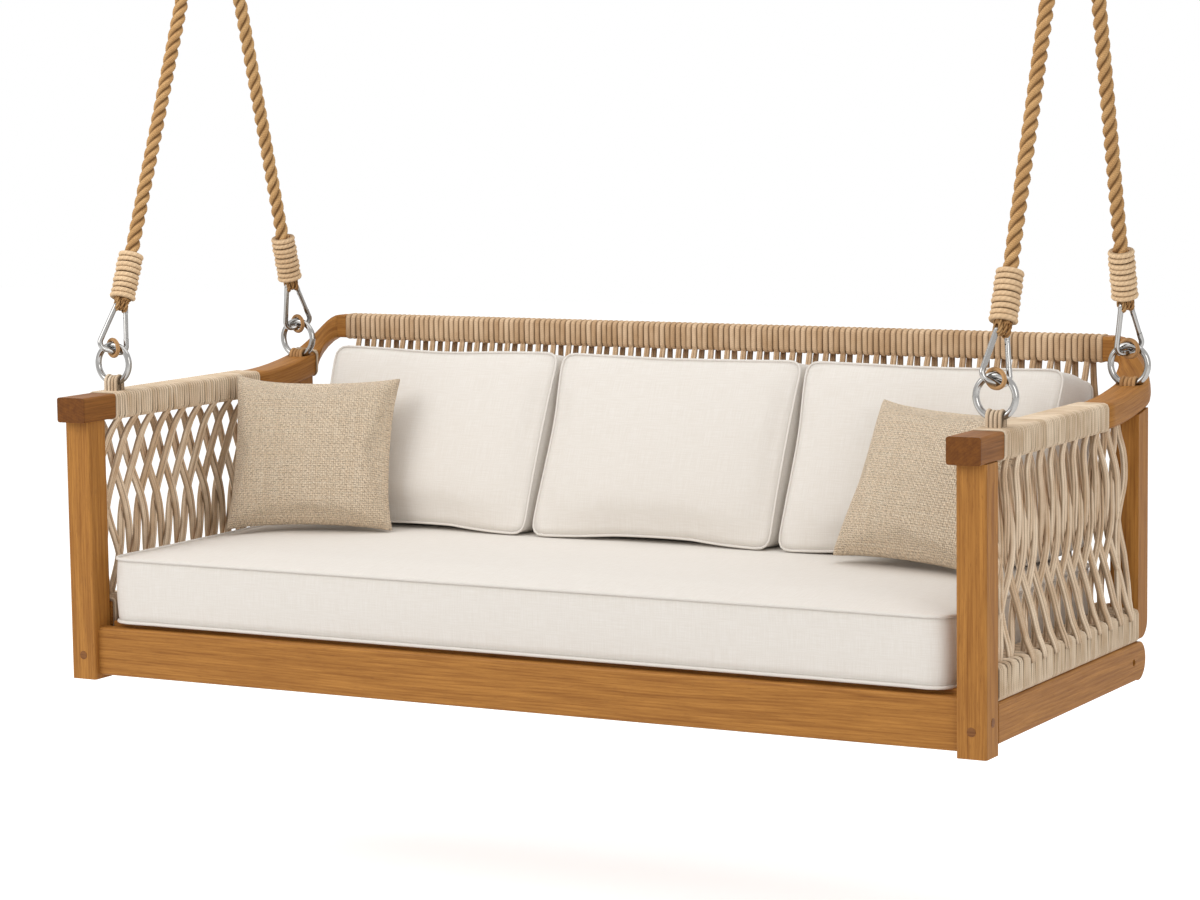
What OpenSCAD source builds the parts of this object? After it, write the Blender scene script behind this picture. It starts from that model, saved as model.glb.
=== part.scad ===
// Hanging swing bed: a wooden daybed frame with cord-wrapped rails and cord lattice panels,
// hung by four ropes from two swing hangers. Millimetres, +Z up, +Y towards the back,
// origin midway between the two hangers in the plane of the ceiling.

/* [Bed frame] */
// Overall width over the front posts
bed_w = 2000; // [1700:10:2200]
// Depth from the front posts' faces to the backs of the rear posts
bed_d = 817; // [770:1:900]
// Height of the posts under the arms
post_h = 525; // [480:1:600]
// Side of the square front posts
post_s = 58; // [52:1:64]
// Depth of the rear posts, front to back
rear_post_d = 52; // [44:1:60]
// Width of an arm
arm_w = 66; // [60:1:72]
// Thickness of an arm and of the wrapped panel rails' cords and core together
arm_t = 50; // [44:1:56]
// How far the front block of an arm stands out past its post
arm_overhang = 24; // [10:1:40]
// Where the cord on an arm starts, behind the post's front face
arm_wrap_start = 83; // [75:1:95]
// Where the cord on an arm ends and the bent corner starts
arm_wrap_end = 599; // [560:1:620]
// Outer radius of the bent corners, seen from above
corner_r = 92; // [86:1:110]
// Rise of the back rail over the arms
back_rise = 105; // [80:1:130]
// Rise of a bent corner where it starts to turn
corner_lead = 24; // [10:1:30]
// Thickness of the back rail, front to back
back_rail_t = 40; // [34:1:46]
// Height of the front rail
front_rail_h = 97; // [88:1:100]
// Thickness of the front rail
front_rail_t = 32; // [28:1:36]
// Underside of the front rail over the posts' feet
front_rail_z = 9; // [4:1:12]
// Setback of the front rail behind the posts' faces
front_rail_back = 14; // [8:1:18]
// Height of the side rails and of the back rail between them
side_rail_h = 76; // [70:1:80]
// Thickness of the side rails
side_rail_t = 44; // [40:1:48]
// Underside of the side rails over the posts' feet
side_rail_z = 19; // [14:1:24]
// How far the rounded tails of the side rails end short of the rear posts' backs
rail_tail_short = 10; // [0:1:20]
// Thickness of the bottom back rail, front to back
low_back_t = 40; // [34:1:44]
// Height of the wrapped panel rails over the side rails, cord included
panel_rail_h = 66; // [60:1:72]
// Eased edges of the wood
ease = 5; // [3:0.5:6]

/* [Seat slats] */
// Number of slats
slat_n = 14; // [8:1:16]
// Width of a slat
slat_w = 80; // [60:1:90]
// Thickness of a slat
slat_t = 18; // [14:1:22]
// Height of the slats' tops over the front rail
slat_over = 10; // [4:1:14]
// Side of the square cleats under the slats' ends
cleat_s = 30; // [20:1:34]
// Thickness of the lip that stands up from a cleat, past the slats' ends
cleat_lip = 8; // [5:0.5:12]

/* [Cord wraps and lattice] */
// Thickness of the wrapped cord
cord_d = 8; // [6:0.5:9]
// How far the cord stands proud of the bare wood
cord_proud = 3; // [2:0.5:4]
// Spacing of the lattice along the arms
side_pitch = 56; // [50:1:64]
// Spacing of the lattice along the back
back_pitch = 50.5; // [48:0.5:56]
// Distance of the back rail's cord from the bed's ends
back_wrap_in = 114; // [110:1:200]
// Width of a lattice strand, two cords side by side
strand_w = 15; // [12:0.5:16]
// Spaces that a strand shifts sideways from top to bottom
strand_shift = 2; // [1:1:3]

/* [Rings and snap hooks] */
// Bar of the rings on the arms
ring_bar = 13; // [10:0.5:14]
// Radius of those rings to the middle of the bar
ring_r = 38; // [34:0.5:42]
// Height of the rings' centres over the tops of the arms
ring_over_arm = 57; // [53:1:62]
// Distance of the front rings behind the posts' faces
front_ring_y = 124; // [118:1:150]
// Distance of the rear rings ahead of the rear posts' backs
rear_ring_in = 17; // [10:1:30]
// Bar of the snap hooks
hook_bar = 11; // [9:0.5:13]
// Length of a snap hook over all
hook_len = 112; // [104:1:125]
// Width of a snap hook over its wide end
hook_w = 66; // [60:1:74]
// Radius of the wide end's corners, to the middle of the bar
hook_corner_r = 14; // [12:0.5:22]
// Radius of the narrow end, to the middle of the bar
hook_bow_r = 11; // [11:0.5:14]
// Turn of the snap hooks about their ropes, from the rings' plane
hook_turn = 50; // [42:1:90]

/* [Ropes] */
// Diameter of the hanging ropes
rope_d = 28; // [24:1:29]
// Diameter of the unlaid strands that form the ropes' eyes
eye_strand_d = 10; // [8:0.5:10.5]
// Cord of the whippings
whip_cord = 10.4; // [8:0.2:11]
// Turns of a whipping
whip_turns = 9; // [6:1:12]
// Space between the turns of a whipping
whip_gap = 1; // [0.8:0.1:1.5]

/* [Swing hangers] */
// Distance of the line through both hangers behind the posts' faces
hang_y = 515; // [460:1:580]
// Height of the ceiling over the posts' feet
hang_z = 1816; // [1750:1:1950]
// Bar of the master rings
master_bar = 14; // [12:0.5:15]
// Radius of the master rings to the middle of the bar
master_r = 50; // [46:0.5:58]
// Length of a hanger plate, front to back
plate_l = 110; // [100:1:130]
// Width of a hanger plate
plate_w = 70; // [64:1:80]
// Thickness of a hanger plate and of its ears
plate_t = 6; // [5:0.5:8]
// Hole spacing of a plate, front to back
hole_pitch_y = 86; // [84:1:90]
// Hole spacing of a plate, left to right
hole_pitch_x = 48; // [46:1:50]
// Hole diameter of a plate
hole_d = 9; // [7:0.5:9]
// Diameter of the pivot bolts
pivot_d = 12; // [10:0.5:12]
// Distance of the pivots under the ceiling
pivot_drop = 40; // [36:1:48]
// Thickness of a swing link
link_t = 12; // [10:0.5:14]
// Distance between a link's two holes
link_l = 55; // [50:1:65]

/* [Cushions] */
// Setback of the seat cushion behind the posts' faces
seat_back_set = 18; // [10:1:40]
// Room between the seat cushion and the back panel rail
seat_room = 13; // [4:1:40]
// Thickness of the seat cushion at its seams
seat_t = 128; // [110:1:140]
// Height of the seat cushion's crown over its seam
seat_crown = 16; // [8:1:20]
// Room that the row of back cushions leaves along the seat
cushion_row_room = 174; // [160:1:260]
// Height of a back cushion
back_cushion_h = 366; // [330:1:380]
// Thickness of a back cushion at its foot
back_cushion_foot_t = 255; // [220:1:265]
// Thickness of a back cushion at its top
back_cushion_head_t = 155; // [120:1:170]
// How far a back cushion's rear seam ends below its front seam
back_cushion_drop = 34; // [0:1:60]
// Shift of the row of back cushions to the right
back_cushion_shift = 36; // [0:1:36]
// Width and height of a loose pillow over its corners
pillow_s = 372; // [320:1:380]
// Thickness of a loose pillow
pillow_t = 112; // [90:1:130]
// Distance of the left pillow's middle from the left panel
left_pillow_in = 215; // [200:1:400]
// Distance of the left pillow's foot ahead of the back cushions' seams
left_pillow_ahead = 102; // [90:1:200]
// Distance of the right pillow's middle from the right panel
right_pillow_in = 279; // [220:1:400]
// Distance of the right pillow's foot ahead of the back cushions' seams
right_pillow_ahead = 86; // [84:1:200]

/* [Hidden] */
$fn = 48;
fit = 0.2;                 // gap round a tenon, a plug or a bolt
touch = 0.3;               // gap between pieces that move on each other
ring_room = 1;             // gap round a ring's foot in its groove
cushion_sides = 32;        // points round a cushion's outline

half_w = bed_w / 2;
arm_x = half_w - arm_w / 2;
post_x = half_w - post_s / 2;
arm_top = post_h + arm_t;
ring_z = arm_top + ring_over_arm;
rear_ring_y = bed_d - rear_ring_in;
corner_x = half_w - corner_r;
back_wrap_half = half_w - back_wrap_in;
back_outer_y = bed_d + corner_r;
back_y = back_outer_y - back_rail_t / 2;
back_z = post_h + back_rise;
side_rail_top = side_rail_z + side_rail_h;
side_rail_x = half_w - side_rail_t;
rear_post_y = bed_d - rear_post_d;
panel_top = side_rail_top + panel_rail_h;
core_cut = cord_d - cord_proud;
panel_core_t = panel_rail_h - 2 * cord_d;
panel_core_w = arm_w - 2 * core_cut;
low_panel_y = bed_d - rear_post_d / 2;
panel_inner_x = arm_x - arm_w / 2 - cord_proud;
slat_gap = 5;
low_back_y = rear_post_y - 2 - low_back_t;
slat_top = front_rail_z + front_rail_h + slat_over;
front_rail_y1 = front_rail_back + front_rail_t;
side_n = floor((rear_post_y - post_s) / side_pitch);
side_first = (post_s + rear_post_y) / 2 - (side_n - 1) * side_pitch / 2;
back_n = floor(2 * back_wrap_half / back_pitch);
back_first = -(back_n - 1) * back_pitch / 2;
wrap_z = [side_rail_top, post_h - cord_proud];
cushion_rest = 1.5;        // gap between a cushion and what it leans or lies on
cushion_gap = 4;           // gap between two back cushions
seat_z = slat_top + cushion_rest;
seat_top = seat_z + seat_t;
seat_d = rear_post_y - seat_back_set - seat_room;
seat_w = 2 * (panel_inner_x - 2 * cushion_rest);
back_cushion_w = (seat_w - cushion_row_room - 2 * cushion_gap) / 3;

// the route of the bent corner, measured back from the rear post's face: straight as far as the post's
// back, rising from where the arm ends, then round the corner and up to the back rail
bend_len = rear_post_d + corner_r * PI / 2;
rise_from = arm_wrap_end - rear_post_y;
lead_slope = 2 * corner_lead / (rear_post_d - rise_from);
function smooth(t) = let (c = max(0, min(1, t))) c * c * (3 - 2 * c);
function bend_share(s) = (s - rear_post_d) / (bend_len - rear_post_d);
function bend_rise(s) = s <= rear_post_d
    ? corner_lead * pow(max(0, s - rise_from) / (rear_post_d - rise_from), 2)
    : let (t = min(1, bend_share(s)))
      corner_lead + (back_rise - corner_lead) * smooth(t)
      + lead_slope * (bend_len - rear_post_d) * t * pow(1 - t, 2);

// the hanging line: hooks, ropes and rings
hang_pitch_x = arm_x;
pivot_z = hang_z - pivot_drop;
link_hole_z = pivot_z - link_l;
link_hole_r = master_bar / 2 + 2.5;
ring_sag = master_r - sqrt(pow(master_r, 2) - pow(link_t / 2, 2));
master_z = link_hole_z - (link_hole_r - master_bar / 2 - touch) + ring_sag - master_r;
eye_step = rope_d / 2 + 1;
top_z = master_z - sqrt(pow(master_r, 2) - pow(eye_step, 2));
hook_half = (hook_w - hook_bar) / 2;
hook_axis_l = hook_len - hook_bar;
hook_drop = (ring_bar + hook_bar) / 2 + touch;
eye_r = (hook_bar + eye_strand_d) / 2 + touch;
top_eye_r = (master_bar + eye_strand_d) / 2 + 2;
rope_start = hook_axis_l + hook_bar / 2 + 1.5;
rope_end_gap = master_bar / 2 + 4;
whip_r = rope_d / 2 + whip_cord / 2 + 0.5;
whip_pitch = whip_cord + whip_gap;
whip_len = whip_turns * whip_pitch + whip_cord;
low_whip_at = rope_start + 2;
top_whip_gap = 66;

// ends of a rope: its hook on a ring of the arm, and its eye on the master ring
function ring_centre(side, front) = [side * arm_x, front ? front_ring_y : rear_ring_y, ring_z];
function rope_top(side, front) = [side * arm_x + (front ? -1 : 1) * eye_step, hang_y, top_z];
function unit(v) = v / norm(v);
function ring_top(side, front) = ring_centre(side, front) + [0, 0, ring_r];
function rope_dir(side, front) = unit(rope_top(side, front) - ring_top(side, front));
function hook_foot(side, front) = ring_top(side, front) - rope_dir(side, front) * hook_drop;
function rope_length(side, front) = norm(rope_top(side, front) - hook_foot(side, front));

wood = [0.70, 0.49, 0.28];
pale_cord = [0.83, 0.74, 0.62];
tan_cord = [0.78, 0.62, 0.44];
rope_tan = [0.72, 0.54, 0.32];
steel = [0.72, 0.72, 0.71];
linen = [0.92, 0.90, 0.86];
burlap = [0.78, 0.69, 0.54];

// ---- placing ----

// everything below is drawn from the posts' feet and front faces, and hung from the ceiling here
module hung() { translate([0, -hang_y, -hang_z]) children(); }

module on_side(side) {
    if (side < 0) mirror([1, 0, 0]) children();
    else children();
}

// local Z runs up the rope from the hook's foot
module along_rope(side, front, turn = 0) {
    u = rope_dir(side, front);
    translate(hook_foot(side, front)) rotate([-asin(u[1]), atan2(u[0], u[2]), 0]) rotate([0, 0, turn])
        children();
}

// ---- shapes used by several pieces ----

module round_rect(w, h, r) {
    square([w - 2 * r, h], center = true);
    square([w, h - 2 * r], center = true);
    for (x = [-1, 1], y = [-1, 1]) translate([x * (w / 2 - r), y * (h / 2 - r)]) circle(r = r);
}

// a rail with eased edges: its section is w across and h high, and it runs along Y or X
module rail_y(x, z, w, h, y0, y1, r = ease) {
    translate([x, y1, z + h / 2]) rotate([90, 0, 0]) linear_extrude(y1 - y0) round_rect(w, h, r);
}

module rail_x(y, z, w, h, x0, x1, r = ease) {
    translate([x0, y, z + h / 2]) rotate([90, 0, 90]) linear_extrude(x1 - x0) round_rect(w, h, r);
}

module torus_arc(r, bar, angle = 360) { rotate_extrude(angle = angle) translate([r, 0]) circle(d = bar); }

// a tube swept along points, each with its own ring; both ends are closed
module swept(points, d, sides) {
    n = len(points);
    ways = [for (i = [0:n - 1]) unit(points[min(i + 1, n - 1)] - points[max(i - 1, 0)])];
    rings = [for (i = [0:n - 1])
        let (across = unit(cross(ways[i], [0, 0, 1])), up = cross(across, ways[i]))
        for (k = [0:sides - 1])
            points[i] + d / 2 * (cos(360 * k / sides) * across + sin(360 * k / sides) * up)];
    faces = [for (i = [0:n - 2], k = [0:sides - 1])
        let (a = i * sides + k, b = i * sides + (k + 1) % sides)
        each [[a, b, a + sides], [b, b + sides, a + sides]]];
    last = (n - 1) * sides;
    ends = concat([for (k = [1:sides - 2]) [0, k + 1, k]],
                  [for (k = [1:sides - 2]) [last, last + k, last + k + 1]]);
    polyhedron(rings, concat(faces, ends));
}

// ---- swing hangers ----

module ear_outline() {
    difference() {
        union() {
            circle(d = 2 * pivot_d + 10);
            translate([-(2 * pivot_d + 10) / 2, 0])
                square([2 * pivot_d + 10, pivot_drop - plate_t / 2]);
        }
        circle(d = pivot_d + 2 * fit);
    }
}

// a plate screwed to the ceiling, with two ears that hold the pivot bolt
module hanger(side) {
    ear_gap = link_t + 2;
    color(steel) hung() translate([side * hang_pitch_x, hang_y, 0]) {
        difference() {
            translate([0, 0, hang_z - plate_t]) linear_extrude(plate_t) round_rect(plate_w, plate_l, 8);
            for (x = [-1, 1], y = [-1, 1])
                translate([x * hole_pitch_x / 2, y * hole_pitch_y / 2, hang_z - plate_t - 1])
                    cylinder(h = plate_t + 2, d = hole_d);
        }
        for (s = [-1, 1]) translate([s * (ear_gap + plate_t) / 2 - plate_t / 2, 0, pivot_z])
            rotate([90, 0, 90]) linear_extrude(plate_t) ear_outline();
    }
}

// the pivot bolts' outer ends reach past both ears, with room for the nut
bolt_grip = link_t + 2 + 2 * plate_t;

module hanger_bolts() {
    color(steel) hung() for (side = [-1, 1]) translate([side * hang_pitch_x, hang_y, pivot_z])
        rotate([0, 90, 0]) {
            translate([0, 0, -bolt_grip / 2]) cylinder(h = bolt_grip + pivot_d + 3, d = pivot_d);
            translate([0, 0, -bolt_grip / 2 - pivot_d * 0.6])
                cylinder(h = pivot_d * 0.6, d = pivot_d * 1.7, $fn = 6);
        }
}

module hanger_nuts() {
    color(steel) hung() for (side = [-1, 1])
        translate([side * hang_pitch_x + bolt_grip / 2, hang_y, pivot_z]) rotate([0, 90, 0]) difference() {
            cylinder(h = pivot_d * 0.85, d = pivot_d * 1.7, $fn = 6);
            translate([0, 0, -1]) cylinder(h = pivot_d + 2, d = pivot_d + 0.1);
        }
}

bushing_d = pivot_d + 6;

module hanger_bushings() {
    color([0.62, 0.50, 0.30]) hung() for (side = [-1, 1])
        translate([side * hang_pitch_x - link_t / 2 - 0.8, hang_y, pivot_z]) rotate([0, 90, 0])
            difference() {
                cylinder(h = link_t + 1.6, d = bushing_d);
                translate([0, 0, -1]) cylinder(h = link_t + 4, d = pivot_d + 0.1);
            }
}

// a flat link that swings on the bushing and carries the master ring
module swing_link(side) {
    color(steel) hung() translate([side * hang_pitch_x - link_t / 2, hang_y, pivot_z])
        rotate([90, 0, 90]) linear_extrude(link_t) difference() {
            union() {
                circle(d = bushing_d + 16);
                translate([0, -link_l]) circle(r = link_hole_r + 10);
                translate([-bushing_d / 2 - 5, -link_l]) square([bushing_d + 10, link_l]);
            }
            circle(d = bushing_d + 0.1);
            translate([0, -link_l]) circle(r = link_hole_r);
        }
}

module master_ring(side) {
    color(steel) hung() translate([side * hang_pitch_x, hang_y, master_z]) rotate([90, 0, 0])
        torus_arc(master_r, master_bar);
}

// ---- ropes ----

// the rope between its two eyes; each eye is a strand loop round the hook or the master ring
module rope(side, front) {
    l = rope_length(side, front);
    color(rope_tan) hung() along_rope(side, front) {
        translate([0, 0, rope_start]) cylinder(h = l - rope_start - rope_end_gap - eye_strand_d, d = rope_d);
        rotate([0, 0, hook_turn]) translate([0, 0, hook_axis_l]) rotate([0, 90, 0]) rotate([0, 0, 90])
            half_eye(eye_r, rope_start - hook_axis_l + 0.5);
        translate([0, 0, l]) rotate([0, 90, 0]) rotate([0, 0, 270])
            half_eye(top_eye_r, rope_end_gap + eye_strand_d + 0.5);
    }
}

// a strand that goes round a bar along local Z, with both legs straight towards local +Y
module half_eye(r, leg) {
    rotate([0, 0, 180]) rotate_extrude(angle = 180) translate([r, 0]) circle(d = eye_strand_d);
    for (x = [-1, 1]) translate([x * r, 0, 0]) rotate([-90, 0, 0]) cylinder(h = leg, d = eye_strand_d);
}

// points of a whipping: a helix whose ends run on straight by one thickness of the cord
whip_rings = 16;
function whip_points(r, pitch, turns) = concat(
    [[r, -whip_cord, whip_cord / 2]],
    [for (i = [0:whip_rings * turns])
        [r * cos(360 * i / whip_rings), r * sin(360 * i / whip_rings),
         whip_cord / 2 + pitch * i / whip_rings]],
    [[r, whip_cord, whip_cord / 2 + pitch * turns]]);
whip_route = whip_points(whip_r, whip_pitch, whip_turns);
// least distance between points at least half a turn apart, less the cord
whip_least = min([for (i = [0:len(whip_route) - 1])
    for (j = [i + whip_rings / 2:1:min(len(whip_route) - 1, i + 2 * whip_rings)])
        norm(whip_route[i] - whip_route[j])]) - whip_cord;
echo(str("least gap between the turns of a whipping: ", whip_least, " mm"));

// the wound whippings over the hooks, and ribbed ones of the same size under the master ring
module whippings(side) {
    color(pale_cord) hung() for (front = [true, false]) along_rope(side, front) {
        translate([0, 0, low_whip_at]) swept(whip_route, whip_cord, 6);
        translate([0, 0, rope_length(side, front) - top_whip_gap - whip_len]) rotate_extrude()
            difference() {
                union() {
                    translate([rope_d / 2 + 0.5, 0]) square([whip_cord / 2, whip_len]);
                    for (i = [0:whip_turns])
                        translate([whip_r, whip_cord / 2 + i * whip_pitch]) circle(d = whip_cord, $fn = 16);
                }
            }
    }
}

// ---- snap hooks ----

hook_lean = atan2(hook_half - hook_corner_r, hook_axis_l - hook_corner_r - hook_bow_r);
hook_side = norm([hook_half - hook_corner_r, hook_axis_l - hook_corner_r - hook_bow_r]);
hook_n = hook_lean + asin((hook_corner_r - hook_bow_r) / hook_side);
leg_l = sqrt(pow(hook_side, 2) - pow(hook_corner_r - hook_bow_r, 2));
gate_from = 0.20 * leg_l;
gate_to = 0.80 * leg_l;
gate_d = hook_bar - 1;
tongue_t = gate_d * 0.42;
gate_pin_d = 3.2;

// local X runs out of the leg, local Z runs up it from the wide end's corner
module on_leg(s) {
    translate([s * (hook_half - hook_corner_r + hook_corner_r * cos(hook_n)), 0,
               hook_corner_r + hook_corner_r * sin(hook_n)])
        rotate([0, -s * hook_n, 0]) children();
}

module hook_body() {
    r2 = hook_corner_r;
    for (s = [-1, 1]) {
        translate([s * (hook_half - r2), 0, r2]) rotate([90, 0, 0])
            rotate([0, 0, s > 0 ? -90 : 180 - hook_n]) torus_arc(r2, hook_bar, 90 + hook_n);
    }
    translate([-(hook_half - r2), 0, 0]) rotate([0, 90, 0])
        cylinder(h = 2 * (hook_half - r2), d = hook_bar);
    translate([0, 0, hook_axis_l - hook_bow_r]) rotate([90, 0, 0]) rotate([0, 0, hook_n])
        torus_arc(hook_bow_r, hook_bar, 180 - 2 * hook_n);
    on_leg(-1) cylinder(h = leg_l, d = hook_bar);
    on_leg(1) {
        cylinder(h = gate_from, d = hook_bar);
        translate([0, 0, gate_to + gate_d / 2 + 0.6])
            cylinder(h = leg_l - gate_to - gate_d / 2 - 0.6, d = hook_bar);
    }
}

// the tongue on the upper stub of the gated leg, with the rivet through it
module hook_tongue() {
    on_leg(1) {
        difference() {
            union() {
                translate([0, tongue_t / 2, gate_to]) rotate([90, 0, 0])
                    cylinder(h = tongue_t, d = gate_d - 1);
                translate([-(gate_d - 1) / 2, -tongue_t / 2, gate_to])
                    cube([gate_d - 1, tongue_t, gate_d / 2 + 1]);
            }
            translate([0, gate_d, gate_to]) rotate([90, 0, 0]) cylinder(h = 2 * gate_d, d = gate_pin_d);
        }
        translate([0, gate_d / 2, gate_to]) rotate([90, 0, 0]) cylinder(h = gate_d, d = gate_pin_d);
    }
}

module hook(side, front) {
    color(steel) hung() along_rope(side, front, hook_turn) {
        hook_body();
        hook_tongue();
    }
}

module hook_gate(side, front) {
    color(steel) hung() along_rope(side, front, hook_turn) on_leg(1) difference() {
        union() {
            translate([0, 0, gate_from + 0.6]) cylinder(h = gate_to - gate_from - 0.6, d = gate_d);
            translate([0, 0, gate_to]) intersection() {
                cylinder(h = gate_d, d = gate_d, center = true);
                rotate([90, 0, 0]) cylinder(h = gate_d, d = gate_d, center = true);
            }
        }
        translate([-gate_d, -tongue_t / 2 - touch, gate_to - gate_d / 2 - 0.2])
            cube([2 * gate_d, tongue_t + 2 * touch, 2 * gate_d]);
        translate([0, gate_d, gate_to]) rotate([90, 0, 0])
            cylinder(h = 2 * gate_d, d = gate_pin_d + 0.1);
    }
}

// ---- rings ----

module arm_ring(front) {
    color(steel) hung() for (side = [-1, 1]) translate(ring_centre(side, front)) rotate([90, 0, 0])
        torus_arc(ring_r, ring_bar);
}

tie_d = 7;
tie_angle = 38;

// the tie that binds a hook's wide end to its ring: a collar on the ring, open where the hook passes
module ring_ties(side) {
    color(rope_tan) hung() for (front = [true, false]) difference() {
        translate(ring_centre(side, front)) rotate([90, 0, 0]) rotate([0, 0, 90 - tie_angle / 2])
            rotate_extrude(angle = tie_angle) translate([ring_r, 0]) difference() {
                circle(d = ring_bar + 2 * touch + 2 * tie_d * 0.6);
                circle(d = ring_bar + 2 * touch);
            }
        along_rope(side, front, hook_turn) translate([-hook_half, 0, 0]) rotate([0, 90, 0])
            cylinder(h = 2 * hook_half, d = hook_bar + 2.4);
    }
}

lash_n = 4;
lash_cord = 8;
lash_sink = 18;
lash_r = (ring_bar + lash_cord) / 2 + 0.9;

function lash_x(i) = (i - (lash_n - 1) / 2) * (lash_cord + 0.2);

// the turns that hold a ring's foot to the arm; their legs go down into a slot in the wood
module lashing_at(y, foot_z) {
    for (i = [0:lash_n - 1]) {
        bar_z = ring_z - sqrt(pow(ring_r, 2) - pow(lash_x(i), 2));
        translate([arm_x + lash_x(i), y, bar_z]) rotate([90, 0, 90])
            torus_arc(lash_r, lash_cord, 180);
        for (s = [-1, 1]) translate([arm_x + lash_x(i), y + s * lash_r, foot_z])
            cylinder(h = bar_z - foot_z, d = lash_cord);
    }
}

module ring_lashings() {
    color(pale_cord) hung() for (side = [-1, 1]) on_side(side) {
        lashing_at(front_ring_y, arm_top - lash_sink);
        lashing_at(rear_ring_y, arm_top - lash_sink);
    }
}

module lashing_slot(y) {
    w = lash_n * (lash_cord + 0.2) + 0.4;
    translate([arm_x - w / 2, y - lash_r - lash_cord / 2 - fit, arm_top - lash_sink])
        cube([w, 2 * lash_r + lash_cord + 2 * fit, arm_t + lash_sink]);
}

// ---- posts ----

tenon = 30;

bolt_d = 8;
bolt_head_d = 13;
bolt_head_t = 6;
plug_d = 17;
plug_t = 8;
bolt_reach = 52;
nut_d = 12;
side_bolt_z = side_rail_z + 44;       // bolts along X, into the front rail
front_bolt_z = side_rail_z + 30;      // bolts along Y, into the side rails
front_bolt_y = front_rail_back + front_rail_t / 2;
tail_bolt_y = low_back_y + low_back_t / 2;
tail_bolt_z = side_rail_z + side_rail_h / 2;
tail_recess = 12;

// space of a bolt, its head and its plug; local Z runs in from the face
module bolt_space(head_at, grip) {
    translate([0, 0, -1]) cylinder(h = head_at + bolt_head_t + 1, d = plug_d);
    cylinder(h = head_at + bolt_head_t + grip + bolt_reach, d = bolt_d + 2 * fit);
}

module bolt(head_at, grip) {
    translate([0, 0, head_at]) cylinder(h = bolt_head_t, d = bolt_head_d);
    translate([0, 0, head_at]) cylinder(h = bolt_head_t + grip + bolt_reach - 2, d = bolt_d);
}

// places: through the post into the front rail, through the post into the side rail,
// and through the side rail's tail into the bottom back rail
module from_side(y, z) { translate([half_w, y, z]) rotate([0, -90, 0]) children(); }
module from_front(z) { translate([post_x, 0, z]) rotate([-90, 0, 0]) children(); }

front_grip = post_s - plug_t - bolt_head_t;
tail_grip = side_rail_t - tail_recess - bolt_head_t;

module all_bolt_spaces() {
    from_side(front_bolt_y, side_bolt_z) bolt_space(plug_t, front_grip);
    from_front(front_bolt_z) bolt_space(plug_t, front_grip);
    from_side(tail_bolt_y, tail_bolt_z) {
        translate([0, 0, -1]) cylinder(h = tail_recess + bolt_head_t + 1, d = bolt_head_d + 1);
        cylinder(h = side_rail_t + bolt_reach, d = bolt_d + 2 * fit);
    }
}

nut_in = 10;
front_nut_x = half_w - post_s - bolt_reach + nut_in;
side_nut_y = post_s + bolt_reach - nut_in;
tail_nut_x = side_rail_x - bolt_reach + nut_in;
nut_l = 26;

// barrel nuts lie across their bolts, in blind holes from the inner faces
module nut_places(r_extra = 0) {
    translate([front_nut_x, front_rail_y1 - nut_l, side_bolt_z]) rotate([-90, 0, 0])
        cylinder(h = nut_l + r_extra * 20, d = nut_d + 2 * r_extra);
    translate([side_rail_x - r_extra * 20, side_nut_y, front_bolt_z]) rotate([0, 90, 0])
        cylinder(h = nut_l + r_extra * 20, d = nut_d + 2 * r_extra);
    translate([tail_nut_x, low_back_y - r_extra * 20, tail_bolt_z]) rotate([-90, 0, 0])
        cylinder(h = nut_l + r_extra * 20, d = nut_d + 2 * r_extra);
}

module frame_bolts() {
    color(steel) hung() for (side = [-1, 1]) on_side(side) {
        from_side(front_bolt_y, side_bolt_z) bolt(plug_t, front_grip);
        from_front(front_bolt_z) bolt(plug_t, front_grip);
        from_side(tail_bolt_y, tail_bolt_z) bolt(tail_recess, tail_grip);
        difference() {
            nut_places();
            from_side(front_bolt_y, side_bolt_z) cylinder(h = 200, d = bolt_d + 0.1);
            from_front(front_bolt_z) cylinder(h = 200, d = bolt_d + 0.1);
            from_side(tail_bolt_y, tail_bolt_z) cylinder(h = 200, d = bolt_d + 0.1);
        }
    }
}

module wood_plugs() {
    color(wood) hung() for (side = [-1, 1]) on_side(side) {
        from_side(front_bolt_y, side_bolt_z) translate([0, 0, -0.6])
            cylinder(h = plug_t + 0.6, d = plug_d - 2 * fit);
        from_front(front_bolt_z) translate([0, 0, -0.6]) cylinder(h = plug_t + 0.6, d = plug_d - 2 * fit);
    }
}

module front_post(side) {
    color(wood) hung() on_side(side) {
        difference() {
            translate([post_x, post_s / 2, 0]) linear_extrude(post_h) round_rect(post_s, post_s, ease);
            all_bolt_spaces();
        }
        translate([post_x - tenon / 2, (post_s - tenon) / 2, post_h]) cube([tenon, tenon, tenon]);
    }
}

// the rear post stands on the side rail; its top follows the bent corner and its foot is rounded
rear_foot_r = 34;
module rear_post(side) {
    steps = 3;
    color(wood) hung() on_side(side) translate([half_w - post_s, 0, 0]) rotate([90, 0, 90])
        linear_extrude(post_s) {
            polygon(concat(
                [[rear_post_y, side_rail_top + 5]],
                [for (a = [-90:15:0]) [bed_d - rear_foot_r + rear_foot_r * cos(a),
                                       side_rail_top + 5 + rear_foot_r + rear_foot_r * sin(a)]],
                [for (i = [steps:-1:0]) [rear_post_y + rear_post_d * i / steps,
                                         post_h + bend_rise(rear_post_d * i / steps)]]));
        }
}

// ---- arms, bent corners and back rail ----

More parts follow.
